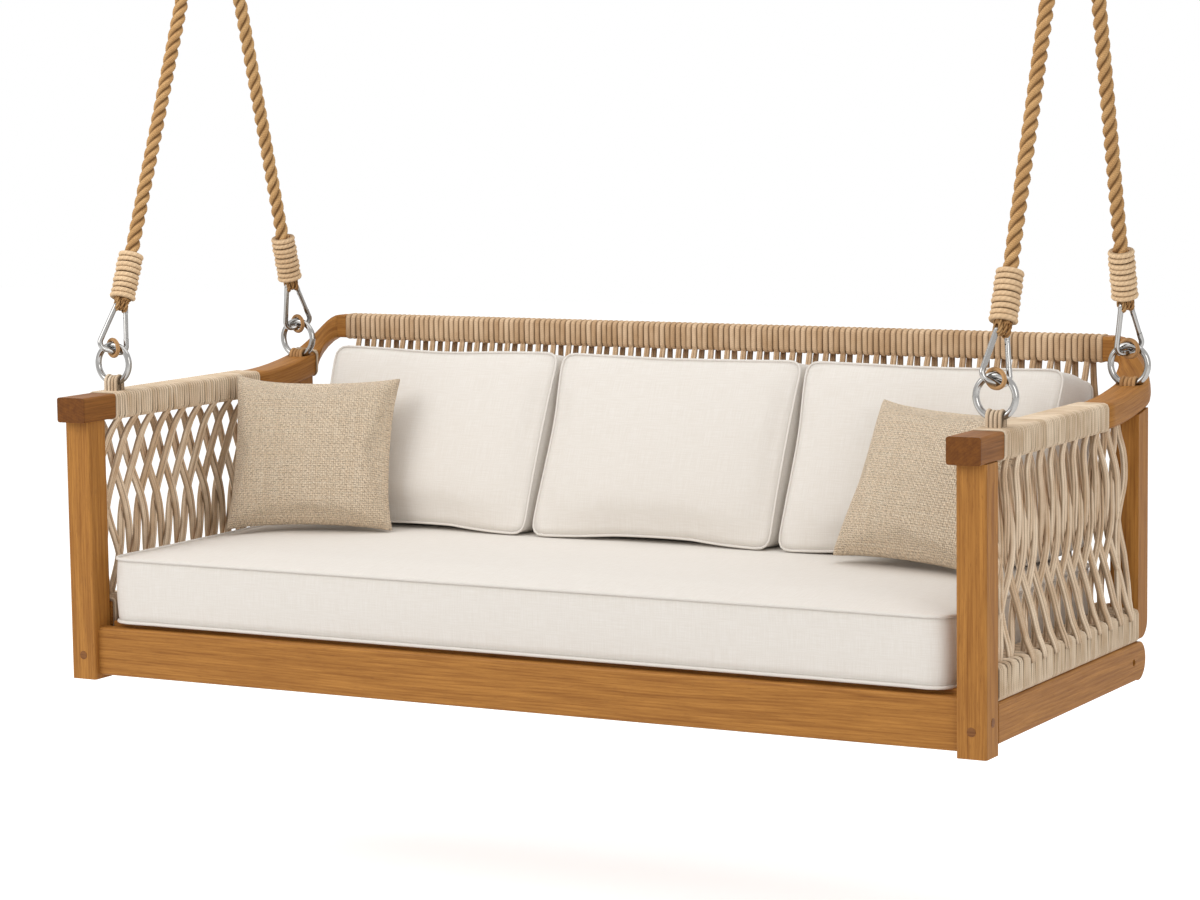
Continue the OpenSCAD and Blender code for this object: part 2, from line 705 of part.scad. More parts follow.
module arm(side) {
    color(wood) hung() on_side(side) {
        difference() {
            union() {
                rail_y(arm_x, post_h, arm_w, arm_t, -arm_overhang, arm_wrap_start);
                rail_y(arm_x, post_h + core_cut, arm_w - 2 * core_cut, arm_t - 2 * core_cut,
                       arm_wrap_start, arm_wrap_end);
            }
            translate([post_x - tenon / 2 - fit, (post_s - tenon) / 2 - fit, post_h - 1])
                cube([tenon + 2 * fit, tenon + 2 * fit, tenon + fit + 1]);
            lashing_slot(front_ring_y);
        }
        translate([arm_x - tenon / 2, arm_wrap_end, post_h + (arm_t - tenon) / 2])
            cube([tenon, tenon, tenon]);
    }
}

// the corner turns over as it goes round, so that the arm's top runs on into the back rail's front
bend_lead_steps = 4;
bend_arc_steps = 10;
lead_stops = [for (i = [0:bend_lead_steps]) rise_from * (1 - i / bend_lead_steps)];
bend_stops = concat(lead_stops, [for (i = [1:3]) rear_post_d * i / 3],
                    [for (i = [1:bend_arc_steps]) rear_post_d + corner_r * PI / 2 * i / bend_arc_steps]);
section_r = 9;
section_steps = 3;
function section_point(k, w, h) =
    let (q = floor(k / (section_steps + 1)), a = 90 * q + 90 * (k % (section_steps + 1)) / section_steps,
         sx = (q == 0 || q == 3) ? 1 : -1, sz = q < 2 ? 1 : -1)
    [sx * (w / 2 - section_r) + section_r * cos(a), sz * (h / 2 - section_r) + section_r * sin(a)];
section_n = 4 * (section_steps + 1);

// across an arm's top, then up the back rail's front; and down an arm's side, then through the back rail
function bend_width(s) = arm_w + (arm_t - arm_w) * smooth(bend_share(s));
function bend_height(s) = arm_t + (back_rail_t - arm_t) * smooth(bend_share(s));
function bend_turn(s) = 90 * max(0, bend_share(s));
function bend_twist(s) = 90 * smooth(bend_share(s));
// half of a turned section's extent
function reach(w, h, turn) = section_r + (w / 2 - section_r) * cos(turn) + (h / 2 - section_r) * sin(turn);
function bend_place(s, p) =
    let (a = bend_turn(s), b = bend_twist(s), w = bend_width(s), h = bend_height(s),
         out = p[0] * cos(b) - p[1] * sin(b), up = p[0] * sin(b) + p[1] * cos(b),
         r = corner_r - reach(w, h, b) + out, y = min(rear_post_y + s, bed_d))
    [corner_x + r * cos(a), y + r * sin(a),
     post_h + bend_rise(s) + arm_t / 2 - (reach(h, w, b) - arm_t / 2) / 2 + up];

module corner_solid() {
    n = len(bend_stops);
    points = [for (s = bend_stops, k = [0:section_n - 1])
        bend_place(s, section_point(k, bend_width(s), bend_height(s)))];
    faces = [for (i = [0:n - 2], k = [0:section_n - 1])
        let (a = i * section_n + k, b = i * section_n + (k + 1) % section_n)
        each [[a, a + section_n, b], [b, a + section_n, b + section_n]]];
    ends = concat([for (k = [1:section_n - 2]) [0, k, k + 1]],
                  [for (k = [1:section_n - 2])
                      [(n - 1) * section_n, (n - 1) * section_n + k + 1, (n - 1) * section_n + k]]);
    polyhedron(points, concat(faces, ends));
}

module corner(side) {
    color(wood) hung() on_side(side) difference() {
        corner_solid();
        translate([arm_x - tenon / 2 - fit, arm_wrap_end - 1, post_h + (arm_t - tenon) / 2 - fit])
            cube([tenon + 2 * fit, tenon + fit + 1, tenon + 2 * fit]);
        lashing_slot(rear_ring_y);
        translate([arm_x, rear_ring_y, ring_z]) rotate([90, 0, 0])
            cylinder(h = ring_bar + 2 * ring_room, r = ring_r + ring_bar / 2 + ring_room, center = true);
    }
}

module back_top_rail() {
    color(wood) hung() {
        rail_x(back_y, back_z + core_cut, back_rail_t - 2 * core_cut, arm_t - 2 * core_cut,
               -back_wrap_half, back_wrap_half);
        for (s = [-1, 1]) on_side(s) rail_x(back_y, back_z, back_rail_t, arm_t, back_wrap_half, corner_x);
    }
}

// ---- lower rails ----

module front_rail() {
    color(wood) hung() difference() {
        rail_x(front_rail_back + front_rail_t / 2, front_rail_z, front_rail_t, front_rail_h,
               -half_w + post_s, half_w - post_s);
        for (s = [-1, 1]) on_side(s) {
            all_bolt_spaces();
            nut_places(fit);
        }
    }
}

module side_rail(side) {
    tail_y = bed_d - rail_tail_short - side_rail_h / 2;
    color(wood) hung() on_side(side) difference() {
        union() {
            rail_y(half_w - side_rail_t / 2, side_rail_z, side_rail_t, side_rail_h, post_s, tail_y);
            translate([half_w - side_rail_t, tail_y, tail_bolt_z]) rotate([0, 90, 0])
                cylinder(h = side_rail_t, d = side_rail_h);
        }
        all_bolt_spaces();
        nut_places(fit);
    }
}

module back_bottom_rail() {
    color(wood) hung() difference() {
        rail_x(low_back_y + low_back_t / 2, side_rail_z, low_back_t, side_rail_h,
               -side_rail_x, side_rail_x);
        for (s = [-1, 1]) on_side(s) {
            all_bolt_spaces();
            nut_places(fit);
        }
    }
}

module side_panel_rails() {
    color(wood) hung() for (s = [-1, 1]) on_side(s)
        rail_y(arm_x, side_rail_top + cord_d, panel_core_w, panel_core_t, post_s, rear_post_y);
}

// the back panel rail and its cords together are as thick as the rear posts that they run between
low_back_wrap_w = rear_post_d;

module back_panel_rail() {
    color(wood) hung() rail_x(low_panel_y, side_rail_top + cord_d, low_back_wrap_w - 2 * cord_d,
                              panel_core_t, -half_w + post_s, half_w - post_s);
}

module seat_slats() {
    span = 2 * (panel_inner_x - slat_gap - slat_w / 2);
    color(wood) hung() for (i = [0:slat_n - 1])
        rail_y(-span / 2 + span * i / (slat_n - 1), slat_top - slat_t, slat_w, slat_t,
               front_rail_y1 + cleat_lip + touch, low_back_y - cleat_lip - touch, 3);
}

// the cleats are rebated: the slats lie on the step, behind a lip that closes their row of ends
module slat_cleats() {
    l = panel_inner_x - slat_gap;
    z = slat_top - slat_t - cleat_s;
    color(wood) hung() for (c = [[front_rail_y1, 1], [low_back_y, -1]])
        translate([-l, c[0], z]) mirror([0, c[1] < 0 ? 1 : 0, 0]) rotate([90, 0, 90]) linear_extrude(2 * l)
            polygon([[0, 0], [cleat_s, 0], [cleat_s, cleat_s], [cleat_lip, cleat_s],
                     [cleat_lip, cleat_s + slat_t], [0, cleat_s + slat_t]]);
}

// ---- cord wraps ----

wrap_corner = cord_d + 2;

// section of the cords that go round a core: outer size w by h
module wrap_section(w, h) {
    difference() {
        round_rect(w, h, wrap_corner);
        round_rect(w - 2 * cord_d, h - 2 * cord_d, ease);
    }
}

// a group of turns along local Z
module turns(w, h, length) { linear_extrude(length) wrap_section(w, h); }

// groups of turns between the lattice strands: from first to last stop along local Z
function gaps(first, pitch, n) = [for (i = [0:n - 1]) first + i * pitch];
function free_runs(a, b, stops) =
    let (inside = [for (s = stops) if (s > a + strand_w && s < b - strand_w) s],
         m = len(inside))
    [for (i = [0:m]) [(i == 0 ? a : inside[i - 1] + strand_w / 2 + 0.2),
                      (i == m ? b : inside[i] - strand_w / 2 - 0.2)]];

side_stops = gaps(side_first, side_pitch, side_n);
back_stops = gaps(back_first, back_pitch, back_n);

module wrap_y(x, z, w, h, a, b) {
    for (run = free_runs(a, b, side_stops)) translate([x, run[1], z + h / 2]) rotate([90, 0, 0])
        turns(w, h, run[1] - run[0]);
}

module wrap_x(y, z, w, h, a, b) {
    for (run = free_runs(a, b, back_stops)) translate([run[0], y, z + h / 2]) rotate([90, 0, 90])
        turns(w, h, run[1] - run[0]);
}

module arm_wraps() {
    color(pale_cord) hung() for (s = [-1, 1]) on_side(s) difference() {
        wrap_y(arm_x, post_h - cord_proud, arm_w + 2 * cord_proud, arm_t + 2 * cord_proud,
               arm_wrap_start, arm_wrap_end);
        lashing_slot(front_ring_y);
    }
}

module back_top_wrap() {
    color(tan_cord) hung() wrap_x(back_y, back_z - cord_proud, back_rail_t + 2 * cord_proud,
                                  arm_t + 2 * cord_proud, -back_wrap_half, back_wrap_half);
}

module side_low_wraps() {
    color(pale_cord) hung() for (s = [-1, 1]) on_side(s)
        wrap_y(arm_x, side_rail_top, arm_w + 2 * cord_proud, panel_rail_h, post_s, rear_post_y);
}

module back_low_wrap() {
    color(tan_cord) hung() wrap_x(low_panel_y, side_rail_top, low_back_wrap_w, panel_rail_h,
                                  -half_w + post_s, half_w - post_s);
}

// ---- lattice panels ----

// a strand that starts at stop i and shifts by way stops turns back half a space past the last stop;
// each bend is [share of the way down, stop]
function strand_bends(i, way, n) =
    let (end = i + way, edge = way > 0 ? n - 0.5 : -0.5)
    abs(end - i) > abs(edge - i)
        ? [[0, i], [(edge - i) / way, edge], [1, 2 * edge - end]]
        : [[0, i], [1, end]];

// a flat pair of cords between two points of the panel: local X along the rail, local Z up
module strand(low, high, layer) {
    v = high - low;
    translate([low[0], layer, low[1]]) rotate([0, atan2(v[0], v[1]), 0]) linear_extrude(norm(v)) {
        square([strand_w - cord_d, cord_d], center = true);
        for (s = [-1, 1]) translate([s * (strand_w - cord_d) / 2, 0]) circle(d = cord_d);
    }
}

// strands from the top of a panel to its foot, in two layers that cross; stops run along the rail,
// and over is how far they run on above the top
module strands(first, pitch, n, height, over = 0) {
    layer = (cord_d + touch) / 2;
    for (i = [0:n - 1], way = [-strand_shift, strand_shift]) {
        bends = strand_bends(i, way, n);
        places = [for (b = bends) [first + b[1] * pitch, height * (1 - b[0])]];
        head = places[0] + (places[0] - places[1]) * over / (places[0][1] - places[1][1]);
        for (k = [0:len(bends) - 2])
            strand(places[k + 1], k == 0 ? head : places[k], sign(places[k + 1][0] - places[k][0]) * layer);
        if (len(bends) > 2) translate([places[1][0], 0, places[1][1]]) rotate([90, 0, 0])
            cylinder(h = 2 * layer + cord_d, d = strand_w, center = true);
    }
}

// the cords reach the wrap under an arm, and the bare wood of the corner behind it
side_panel_h = post_h - panel_top;

module side_lattice(side) {
    color(pale_cord) hung() on_side(side) {
        intersection() {
            translate([arm_x, 0, panel_top]) rotate([0, 0, 90]) mirror([0, 1, 0])
                strands(side_first, side_pitch, side_n, side_panel_h, bend_rise(0));
            rotate([90, 0, 90]) linear_extrude(bed_w) polygon(concat(
                [[0, panel_top], [rear_post_y, panel_top]],
                [for (i = [bend_lead_steps:-1:0])
                    [rear_post_y + lead_stops[i], post_h + bend_rise(lead_stops[i])]],
                [[arm_wrap_end, post_h - cord_proud], [0, post_h - cord_proud]]));
        }
        for (y = side_stops) {
            if (y < arm_wrap_end - strand_w && y > arm_wrap_start + strand_w) difference() {
                translate([arm_x, y + strand_w / 2, post_h + arm_t / 2]) rotate([90, 0, 0])
                    linear_extrude(strand_w) wrap_section(arm_w + 2 * cord_proud, arm_t + 2 * cord_proud);
                lashing_slot(front_ring_y);
            }
            if (y > post_s + strand_w && y < rear_post_y - strand_w)
                translate([arm_x, y + strand_w / 2, side_rail_top + panel_rail_h / 2]) rotate([90, 0, 0])
                    linear_extrude(strand_w) wrap_section(arm_w + 2 * cord_proud, panel_rail_h);
        }
    }
}

back_lean_y = back_y - low_panel_y;
back_panel_low = panel_top;
back_panel_high = back_z - cord_proud;
back_panel_l = norm([back_lean_y, back_panel_high - back_panel_low]);
back_lean = atan2(back_lean_y, back_panel_high - back_panel_low);

module back_lattice() {
    color(tan_cord) hung() {
        intersection() {
            translate([0, low_panel_y, back_panel_low]) rotate([-back_lean, 0, 0])
                translate([0, 0, -4]) strands(back_first, back_pitch, back_n, back_panel_l + 8);
            translate([-half_w, 0, back_panel_low])
                cube([bed_w, 2 * bed_d, back_panel_high - back_panel_low]);
        }
        for (x = back_stops) {
            translate([x - strand_w / 2, back_y, back_z + arm_t / 2]) rotate([90, 0, 90])
                linear_extrude(strand_w) wrap_section(back_rail_t + 2 * cord_proud, arm_t + 2 * cord_proud);
            translate([x - strand_w / 2, low_panel_y, side_rail_top + panel_rail_h / 2]) rotate([90, 0, 90])
                linear_extrude(strand_w) wrap_section(low_back_wrap_w, panel_rail_h);
        }
    }
}

// ---- cushions ----

// outline of a cushion: round corners, and sides drawn in between them
quarter = cushion_sides / 4;
corner_points = quarter / 2;
function turn_quarter(p, q) = q == 0 ? p : q == 1 ? [-p[1], p[0]] : q == 2 ? -p : [p[1], -p[0]];
function edge_point(k, w, h, r, draw) =
    let (q = floor(k / quarter), j = k % quarter,
         a = q % 2 == 0 ? w / 2 : h / 2, b = q % 2 == 0 ? h / 2 : w / 2,
         angle = 90 * j / (corner_points - 1), u = 1 - 2 * (j - corner_points + 1) / (corner_points + 1))
    turn_quarter(j < corner_points ? [a - r + r * cos(angle), b - r + r * sin(angle)]
                                   : [u * (a - r), b - draw * (1 - u * u)], q);

// a closed cushion from rings [share of the outline, place through the thickness from 0 to 1];
// place(x, y, t) gives the point in the room
module cushion(rings, w, h, r, draw, place) {
    n = cushion_sides;
    m = len(rings);
    points = concat(
        [place(0, 0, rings[0][1])],
        [for (i = [1:m - 2], k = [0:n - 1])
            let (p = edge_point(k, w, h, r, draw) * rings[i][0]) place(p[0], p[1], rings[i][1])],
        [place(0, 0, rings[m - 1][1])]);
    last = len(points) - 1;
    faces = concat(
        [for (k = [0:n - 1]) [0, 1 + k, 1 + (k + 1) % n]],
        [for (i = [0:m - 4], k = [0:n - 1])
            let (a = 1 + i * n + k, b = 1 + i * n + (k + 1) % n) each [[a, a + n, b], [b, a + n, b + n]]],
        [for (k = [0:n - 1]) let (a = 1 + (m - 3) * n) [last, a + (k + 1) % n, a + k]]);
    polyhedron(points, faces);
}

// a boxed cushion has a flat back, a straight wall and a crowned front
boxed_rings = [[0, 0], [0.5, 0], [0.97, 0], [1, 0.06], [1.004, 0.5], [1, 0.94], [0.97, 1],
               [0.86, 1.05], [0.66, 1.1], [0.36, 1.125], [0, 1.13]];

// corner radius, and how far the sides draw in
seat_round = [45, 4];
back_round = [28, 5];
pillow_round = [14, 16];

module seat_cushion() {
    crown = seat_crown / (seat_t * 0.13);
    color(linen) hung() cushion(boxed_rings, seat_w, seat_d, seat_round[0], seat_round[1],
        function (x, y, t) [x, seat_back_set + seat_d / 2 + y,
                            seat_z + seat_t * (t <= 1 ? t : 1 + (t - 1) * crown)]);
}

seat_crown_z = seat_top + seat_crown;
back_cushion_z = seat_crown_z + cushion_rest;
function lattice_front(z) = low_panel_y + back_lean_y * (z - panel_top) / (back_panel_high - panel_top)
    - cord_d - cushion_rest;
back_foot_y = lattice_front(back_cushion_z);
back_head_y = min(lattice_front(back_cushion_z + back_cushion_h),
                  back_y - back_rail_t / 2 - cord_proud - cushion_rest);

// a back cushion is a wedge, thicker at its foot, leaning on the lattice and on the back rail
module back_cushion(i) {
    x0 = back_cushion_shift + (i - 1) * (back_cushion_w + cushion_gap);
    crown = 0.7;
    color(linen) hung() cushion(boxed_rings, back_cushion_w, back_cushion_h, back_round[0], back_round[1],
        function (x, y, t) let (
            f = (y + back_cushion_h / 2) / back_cushion_h,
            back = back_foot_y + (back_head_y - back_foot_y) * f,
            thick = back_cushion_foot_t + (back_cushion_head_t - back_cushion_foot_t) * f)
            [x0 + x, back - thick * (t <= 1 ? t : 1 + (t - 1) * crown),
             back_cushion_z + (back_cushion_h - back_cushion_drop * (1 - min(1, t))) * f]);
}

// a loose pillow has a knife edge, full middle and drawn-in sides
pillow_rings = [[0, 0], [0.3, 0.03], [0.6, 0.12], [0.84, 0.28], [0.95, 0.41], [1, 0.5],
                [0.95, 0.59], [0.84, 0.72], [0.6, 0.88], [0.3, 0.97], [0, 1]];

// turn is about the vertical, lean is back, roll is in the pillow's own plane; it stands on a corner
pillow_h = 0.92 * pillow_s;
pillow_sink = 0.25 * seat_crown;
module pillow(x, ahead, turn, lean, roll) {
    color(burlap) hung() translate([x, back_foot_y - back_cushion_foot_t - ahead,
                                    seat_crown_z + pillow_s / 2 * sin(abs(roll)) - pillow_sink])
        rotate([0, 0, turn]) rotate([90 - lean, 0, 0]) rotate([0, 0, roll]) translate([0, pillow_h / 2, 0])
            cushion(pillow_rings, pillow_s, pillow_h, pillow_round[0], pillow_round[1],
                    function (x, y, t) [x, y, (t - 0.5) * pillow_t]);
}

module left_pillow() { pillow(left_pillow_in - panel_inner_x, left_pillow_ahead, 18, 13, 2); }
module right_pillow() { pillow(panel_inner_x - right_pillow_in, right_pillow_ahead, -13, 12, -7); }

// ---- the parts ----

hanger(-1);  // left_hanger
hanger(1);  // right_hanger
hanger_bolts();
hanger_nuts();
hanger_bushings();
swing_link(-1);  // left_link
swing_link(1);  // right_link
master_ring(-1);  // left_master_ring
rope(-1, true);  // left_front_rope
rope(-1, false);  // left_rear_rope
whippings(-1);  // left_whippings
hook(-1, true);  // left_front_hook
hook(-1, false);  // left_rear_hook
hook_gate(-1, true);  // left_front_gate
hook_gate(-1, false);  // left_rear_gate
ring_ties(-1);  // left_ring_ties
master_ring(1);  // right_master_ring
rope(1, true);  // right_front_rope
rope(1, false);  // right_rear_rope
whippings(1);  // right_whippings
hook(1, true);  // right_front_hook
hook(1, false);  // right_rear_hook
hook_gate(1, true);  // right_front_gate
hook_gate(1, false);  // right_rear_gate
ring_ties(1);  // right_ring_ties
arm_ring(true);  // front_rings
arm_ring(false);  // rear_rings
ring_lashings();
front_post(-1);  // left_front_post
front_post(1);  // right_front_post
rear_post(-1);  // left_rear_post
rear_post(1);  // right_rear_post
arm(-1);  // left_arm
arm(1);  // right_arm
corner(-1);  // left_corner
corner(1);  // right_corner
back_top_rail();
front_rail();
side_rail(-1);  // left_side_rail
side_rail(1);  // right_side_rail
back_bottom_rail();
side_panel_rails();
back_panel_rail();
seat_slats();
slat_cleats();
frame_bolts();
wood_plugs();
arm_wraps();
back_top_wrap();
side_low_wraps();
back_low_wrap();
side_lattice(-1);  // left_lattice
side_lattice(1);  // right_lattice
back_lattice();
seat_cushion();
back_cushion(0);  // left_back_cushion
back_cushion(1);  // middle_back_cushion
back_cushion(2);  // right_back_cushion
left_pillow();
right_pillow();
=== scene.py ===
import math

import bmesh
import bpy
import numpy as np
from mathutils import Matrix, Vector


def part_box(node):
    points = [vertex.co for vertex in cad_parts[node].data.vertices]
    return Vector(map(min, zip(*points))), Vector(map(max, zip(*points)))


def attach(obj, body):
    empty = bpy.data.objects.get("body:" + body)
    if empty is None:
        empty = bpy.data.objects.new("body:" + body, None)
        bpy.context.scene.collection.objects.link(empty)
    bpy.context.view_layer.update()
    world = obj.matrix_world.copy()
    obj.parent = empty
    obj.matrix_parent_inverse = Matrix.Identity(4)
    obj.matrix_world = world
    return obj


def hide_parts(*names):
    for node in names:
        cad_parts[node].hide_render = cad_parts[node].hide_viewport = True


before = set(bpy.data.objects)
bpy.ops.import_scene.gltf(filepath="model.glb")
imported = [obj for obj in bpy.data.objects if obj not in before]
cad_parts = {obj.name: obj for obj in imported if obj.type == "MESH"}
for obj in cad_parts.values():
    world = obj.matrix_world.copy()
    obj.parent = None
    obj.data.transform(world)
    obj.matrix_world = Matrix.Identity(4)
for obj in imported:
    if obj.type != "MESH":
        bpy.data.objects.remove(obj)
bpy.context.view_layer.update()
bpy.ops.object.select_all(action="DESELECT")

# ---- Objects, meshes and shader nodes ----


def add_object(name, data):
    made = bpy.data.objects.new(name, data)
    bpy.context.scene.collection.objects.link(made)
    return made


def smooth_mesh(name, points, faces, uvs):
    """A smooth mesh. uvs holds a pair for each corner of each face."""
    mesh = bpy.data.meshes.new(name)
    mesh.from_pydata(points, [], faces)
    layer = mesh.uv_layers.new(name="UVMap")
    layer.data.foreach_set("uv", np.asarray(uvs, np.float32).ravel())
    mesh.shade_smooth()
    return mesh


class Wire:
    """An output of a shader node. Arithmetic on wires and numbers adds Math nodes to its tree."""

    def __init__(self, tree, socket):
        self.tree, self.socket = tree, socket

    def math(self, operation, a, b=None):
        return add(self.tree, "Math", {0: a, 1: b}, operation=operation)

    def of(self, operation, other=None):
        return self.math(operation, self, other)

    def __add__(self, other):
        return self.of("ADD", other)

    def __sub__(self, other):
        return self.of("SUBTRACT", other)

    def __rsub__(self, other):
        return self.math("SUBTRACT", other, self)

    def __mul__(self, other):
        return self.of("MULTIPLY", other)

    def __pow__(self, other):
        return self.of("POWER", other)

    def clamped(self):
        """Keeps the result of the last step between 0 and 1."""
        self.socket.node.use_clamp = True
        return self


def feed(node, inputs):
    """Links wires to a node's inputs, and sets numbers, vectors and colours on them."""
    for key, value in inputs.items():
        if isinstance(value, Wire):
            value.tree.links.new(value.socket, node.inputs[key])
        elif value is not None:
            socket = node.inputs[key]
            socket.default_value = (*value, 1) if socket.type == "RGBA" else value


def add(tree, kind, inputs, output=0, **settings):
    """A new shader node with its settings and inputs, as the wire of one of its outputs."""
    node = tree.nodes.new("ShaderNode" + kind)
    for key, value in settings.items():
        setattr(node, key, value)
    feed(node, inputs)
    return Wire(tree, node.outputs[output])


def outputs(wire):
    """All outputs of a wire's node, by name."""
    return {socket.name: Wire(wire.tree, socket) for socket in wire.socket.node.outputs}


def noise(vector, scale, detail=2.0, rough=0.5, output="Fac"):
    return add(vector.tree, "TexNoise",
               {"Scale": scale, "Detail": detail, "Roughness": rough, "Vector": vector}, output)


def scaled(vector, scale, offset=(0, 0, 0)):
    return add(vector.tree, "Mapping", {"Scale": scale, "Location": offset, "Vector": vector})


def vector_math(operation, a, b=None, scale=None, output=0):
    return add(a.tree, "VectorMath", {0: a, 1: b, "Scale": scale}, output, operation=operation)


def blended(factor, a, b, mode="MIX"):
    """A mix of two colours; each is a wire or a colour."""
    return add(factor.tree, "Mix", {"Factor": factor, 6: a, 7: b}, 2, data_type="RGBA",
               blend_type=mode)


def bump(height, strength, distance):
    return add(height.tree, "Bump", {"Strength": strength, "Distance": distance, "Height": height})


def srgb(r, g, b):
    return tuple(((v / 255 + 0.055) / 1.055) ** 2.4 if v > 10 else v / 255 / 12.92
                 for v in (r, g, b))


def shaded(colour, share):
    return tuple(min(1.0, v * share) for v in colour)


def new_material(name):
    """A material, its node tree and its shader."""
    material = bpy.data.materials.new(name)
    material.use_nodes = True
    tree = material.node_tree
    return material, tree, tree.nodes["Principled BSDF"]


def new_group(name, inputs, outputs):
    """An empty node group: its wires by name, and the node that takes its results. inputs and
    outputs give the kind of each socket."""
    group = bpy.data.node_groups.new(name, "ShaderNodeTree")
    for in_out, sockets in (("INPUT", inputs), ("OUTPUT", outputs)):
        for label, kind in sockets.items():
            group.interface.new_socket(name=label, in_out=in_out,
                                       socket_type="NodeSocket" + kind)
    given = group.nodes.new("NodeGroupInput").outputs
    wires = {label: Wire(group, given[label]) for label in inputs}
    return group, wires, group.nodes.new("NodeGroupOutput")


# ---- Camera ----
# A long lens in front of the right half of the bed, a little over the arms. Places in this file are
# measured from the middle of the front posts' faces at their feet, as the drawings are.

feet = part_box("left_front_post")[0]


def at(x, y, z):
    """A point of the bed, in the row frame."""
    return Vector((x, feet.y + y, feet.z + z))


camera = add_object("camera", bpy.data.cameras.new("camera"))
bpy.context.scene.camera = camera
camera.data.sensor_width = 36
camera.data.lens = 105.26
yaw, pitch, roll = (math.radians(degrees) for degrees in (28.884, -6.426, -0.777))
camera.matrix_world = (Matrix.Translation(at(3.3451, -5.6438, 1.2446))
                       @ Matrix.Rotation(yaw, 4, "Z")
                       @ Matrix.Rotation(math.pi / 2 + pitch, 4, "X")
                       @ Matrix.Rotation(roll, 4, "Z"))

# ---- Hanging ropes ----
# Four ropes of three strands, 28 mm across, laid right-handed. Each ends below in an eye round its
# snap hook and above in an eye round the master ring, and both eyes are whipped.

SIDES = (("left", -1), ("right", 1))
ENDS = (("front", True), ("rear", False))
arm_low, arm_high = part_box("left_arm")
arm_x = -(arm_low.x + arm_high.x) / 2
arm_top = 0.575
ring_r, ring_bar, hook_bar = 0.038, 0.013, 0.011
hook_turn = math.radians(50)
touch = 0.0003
hook_axis_l = 0.101
rope_start = hook_axis_l + hook_bar / 2 + 0.0015
rope_end_gap = 0.021
rope_r, rope_lay = 0.0148, 0.079
master_r, eye_apart = 0.05, 0.015


def ring_centre(side, front):
    low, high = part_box("front_rings" if front else "rear_rings")
    return Vector((side * arm_x, (low.y + high.y) / 2, (low.z + high.z) / 2))


def rope_ends(side, front):
    """The foot of the snap hook, and the top of the rope's eye."""
    low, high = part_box("left_master_ring" if side < 0 else "right_master_ring")
    middle = (low + high) / 2
    top = Vector((middle.x + (-eye_apart if front else eye_apart), middle.y,
                  middle.z - math.sqrt(master_r**2 - eye_apart**2)))
    ring_top = ring_centre(side, front) + Vector((0, 0, ring_r))
    way = (top - ring_top).normalized()
    return ring_top - way * ((ring_bar + hook_bar) / 2 + touch), top


def along_rope(side, front, turn=0.0):
    """Local Z runs up the rope from the hook's foot."""
    foot, top = rope_ends(side, front)
    u = (top - foot).normalized()
    return (Matrix.Translation(foot) @ Matrix.Rotation(math.atan2(u.x, u.z), 4, "Y")
            @ Matrix.Rotation(-math.asin(u.y), 4, "X") @ Matrix.Rotation(turn, 4, "Z"))


def section_round(r, sides):
    a = np.arange(sides) * 2 * math.pi / sides
    return np.stack([r * np.cos(a), r * np.sin(a)], 1)


def section_laid(r, steps, strands=3):
    """The outline of three strands laid round each other: bumps that meet in creases."""
    reach, bump = r * 0.47, r * 0.53
    crease = (reach + math.sqrt(reach**2 - 4 * (reach**2 - bump**2))) / 2
    half = math.pi / strands
    open_to = math.atan2(crease * math.sin(half), crease * math.cos(half) - reach)
    rows = []
    for k in range(strands):
        for i in range(steps):
            a = -open_to + 2 * open_to * i / steps
            x, y = reach + bump * math.cos(a), bump * math.sin(a)
            b = 2 * math.pi * k / strands
            rows.append((x * math.cos(b) - y * math.sin(b), x * math.sin(b) + y * math.cos(b)))
    return np.array(rows)


def sweep(path, section, up, closed=False, twist=0.0):
    """A tube along a path: its points, faces and UVs (u round it, v along it in metres).
    up fixes the section's first axis; twist is the section's turn for each metre."""
    path = np.asarray(path, float)
    n, m = len(path), len(section)
    ahead = np.roll(path, -1, 0) - np.roll(path, 1, 0)
    if not closed:
        ahead[0], ahead[-1] = path[1] - path[0], path[-1] - path[-2]
    ahead /= np.linalg.norm(ahead, axis=1)[:, None]
    up = np.broadcast_to(np.asarray(up, float), path.shape)
    first = up - (up * ahead).sum(1)[:, None] * ahead
    first /= np.linalg.norm(first, axis=1)[:, None]
    second = np.cross(ahead, first)
    steps = np.linalg.norm(np.diff(path, axis=0, append=path[:1]), axis=1)
    run = np.concatenate([[0], np.cumsum(steps)])
    turn = run[:n] * twist
    c, s = np.cos(turn)[:, None], np.sin(turn)[:, None]
    a = section[None, :, 0] * c - section[None, :, 1] * s
    b = section[None, :, 0] * s + section[None, :, 1] * c
    points = (path[:, None, :] + a[:, :, None] * first[:, None, :]
              + b[:, :, None] * second[:, None, :])
    rows = n if closed else n - 1
    i, k = np.meshgrid(np.arange(rows), np.arange(m), indexing="ij")
    j, l = (i + 1) % n, (k + 1) % m
    faces = np.stack([i * m + k, i * m + l, j * m + l, j * m + k], -1).reshape(-1, 4)
    v0, v1 = run[i], run[i + 1]
    uv = np.stack([np.stack([k / m, v0], -1), np.stack([(k + 1) / m, v0], -1),
                   np.stack([(k + 1) / m, v1], -1), np.stack([k / m, v1], -1)], 2).reshape(-1, 2)
    ends = [] if closed else [list(range(m))[::-1], [(n - 1) * m + q for q in range(m)]]
    return points.reshape(-1, 3), faces, uv, ends


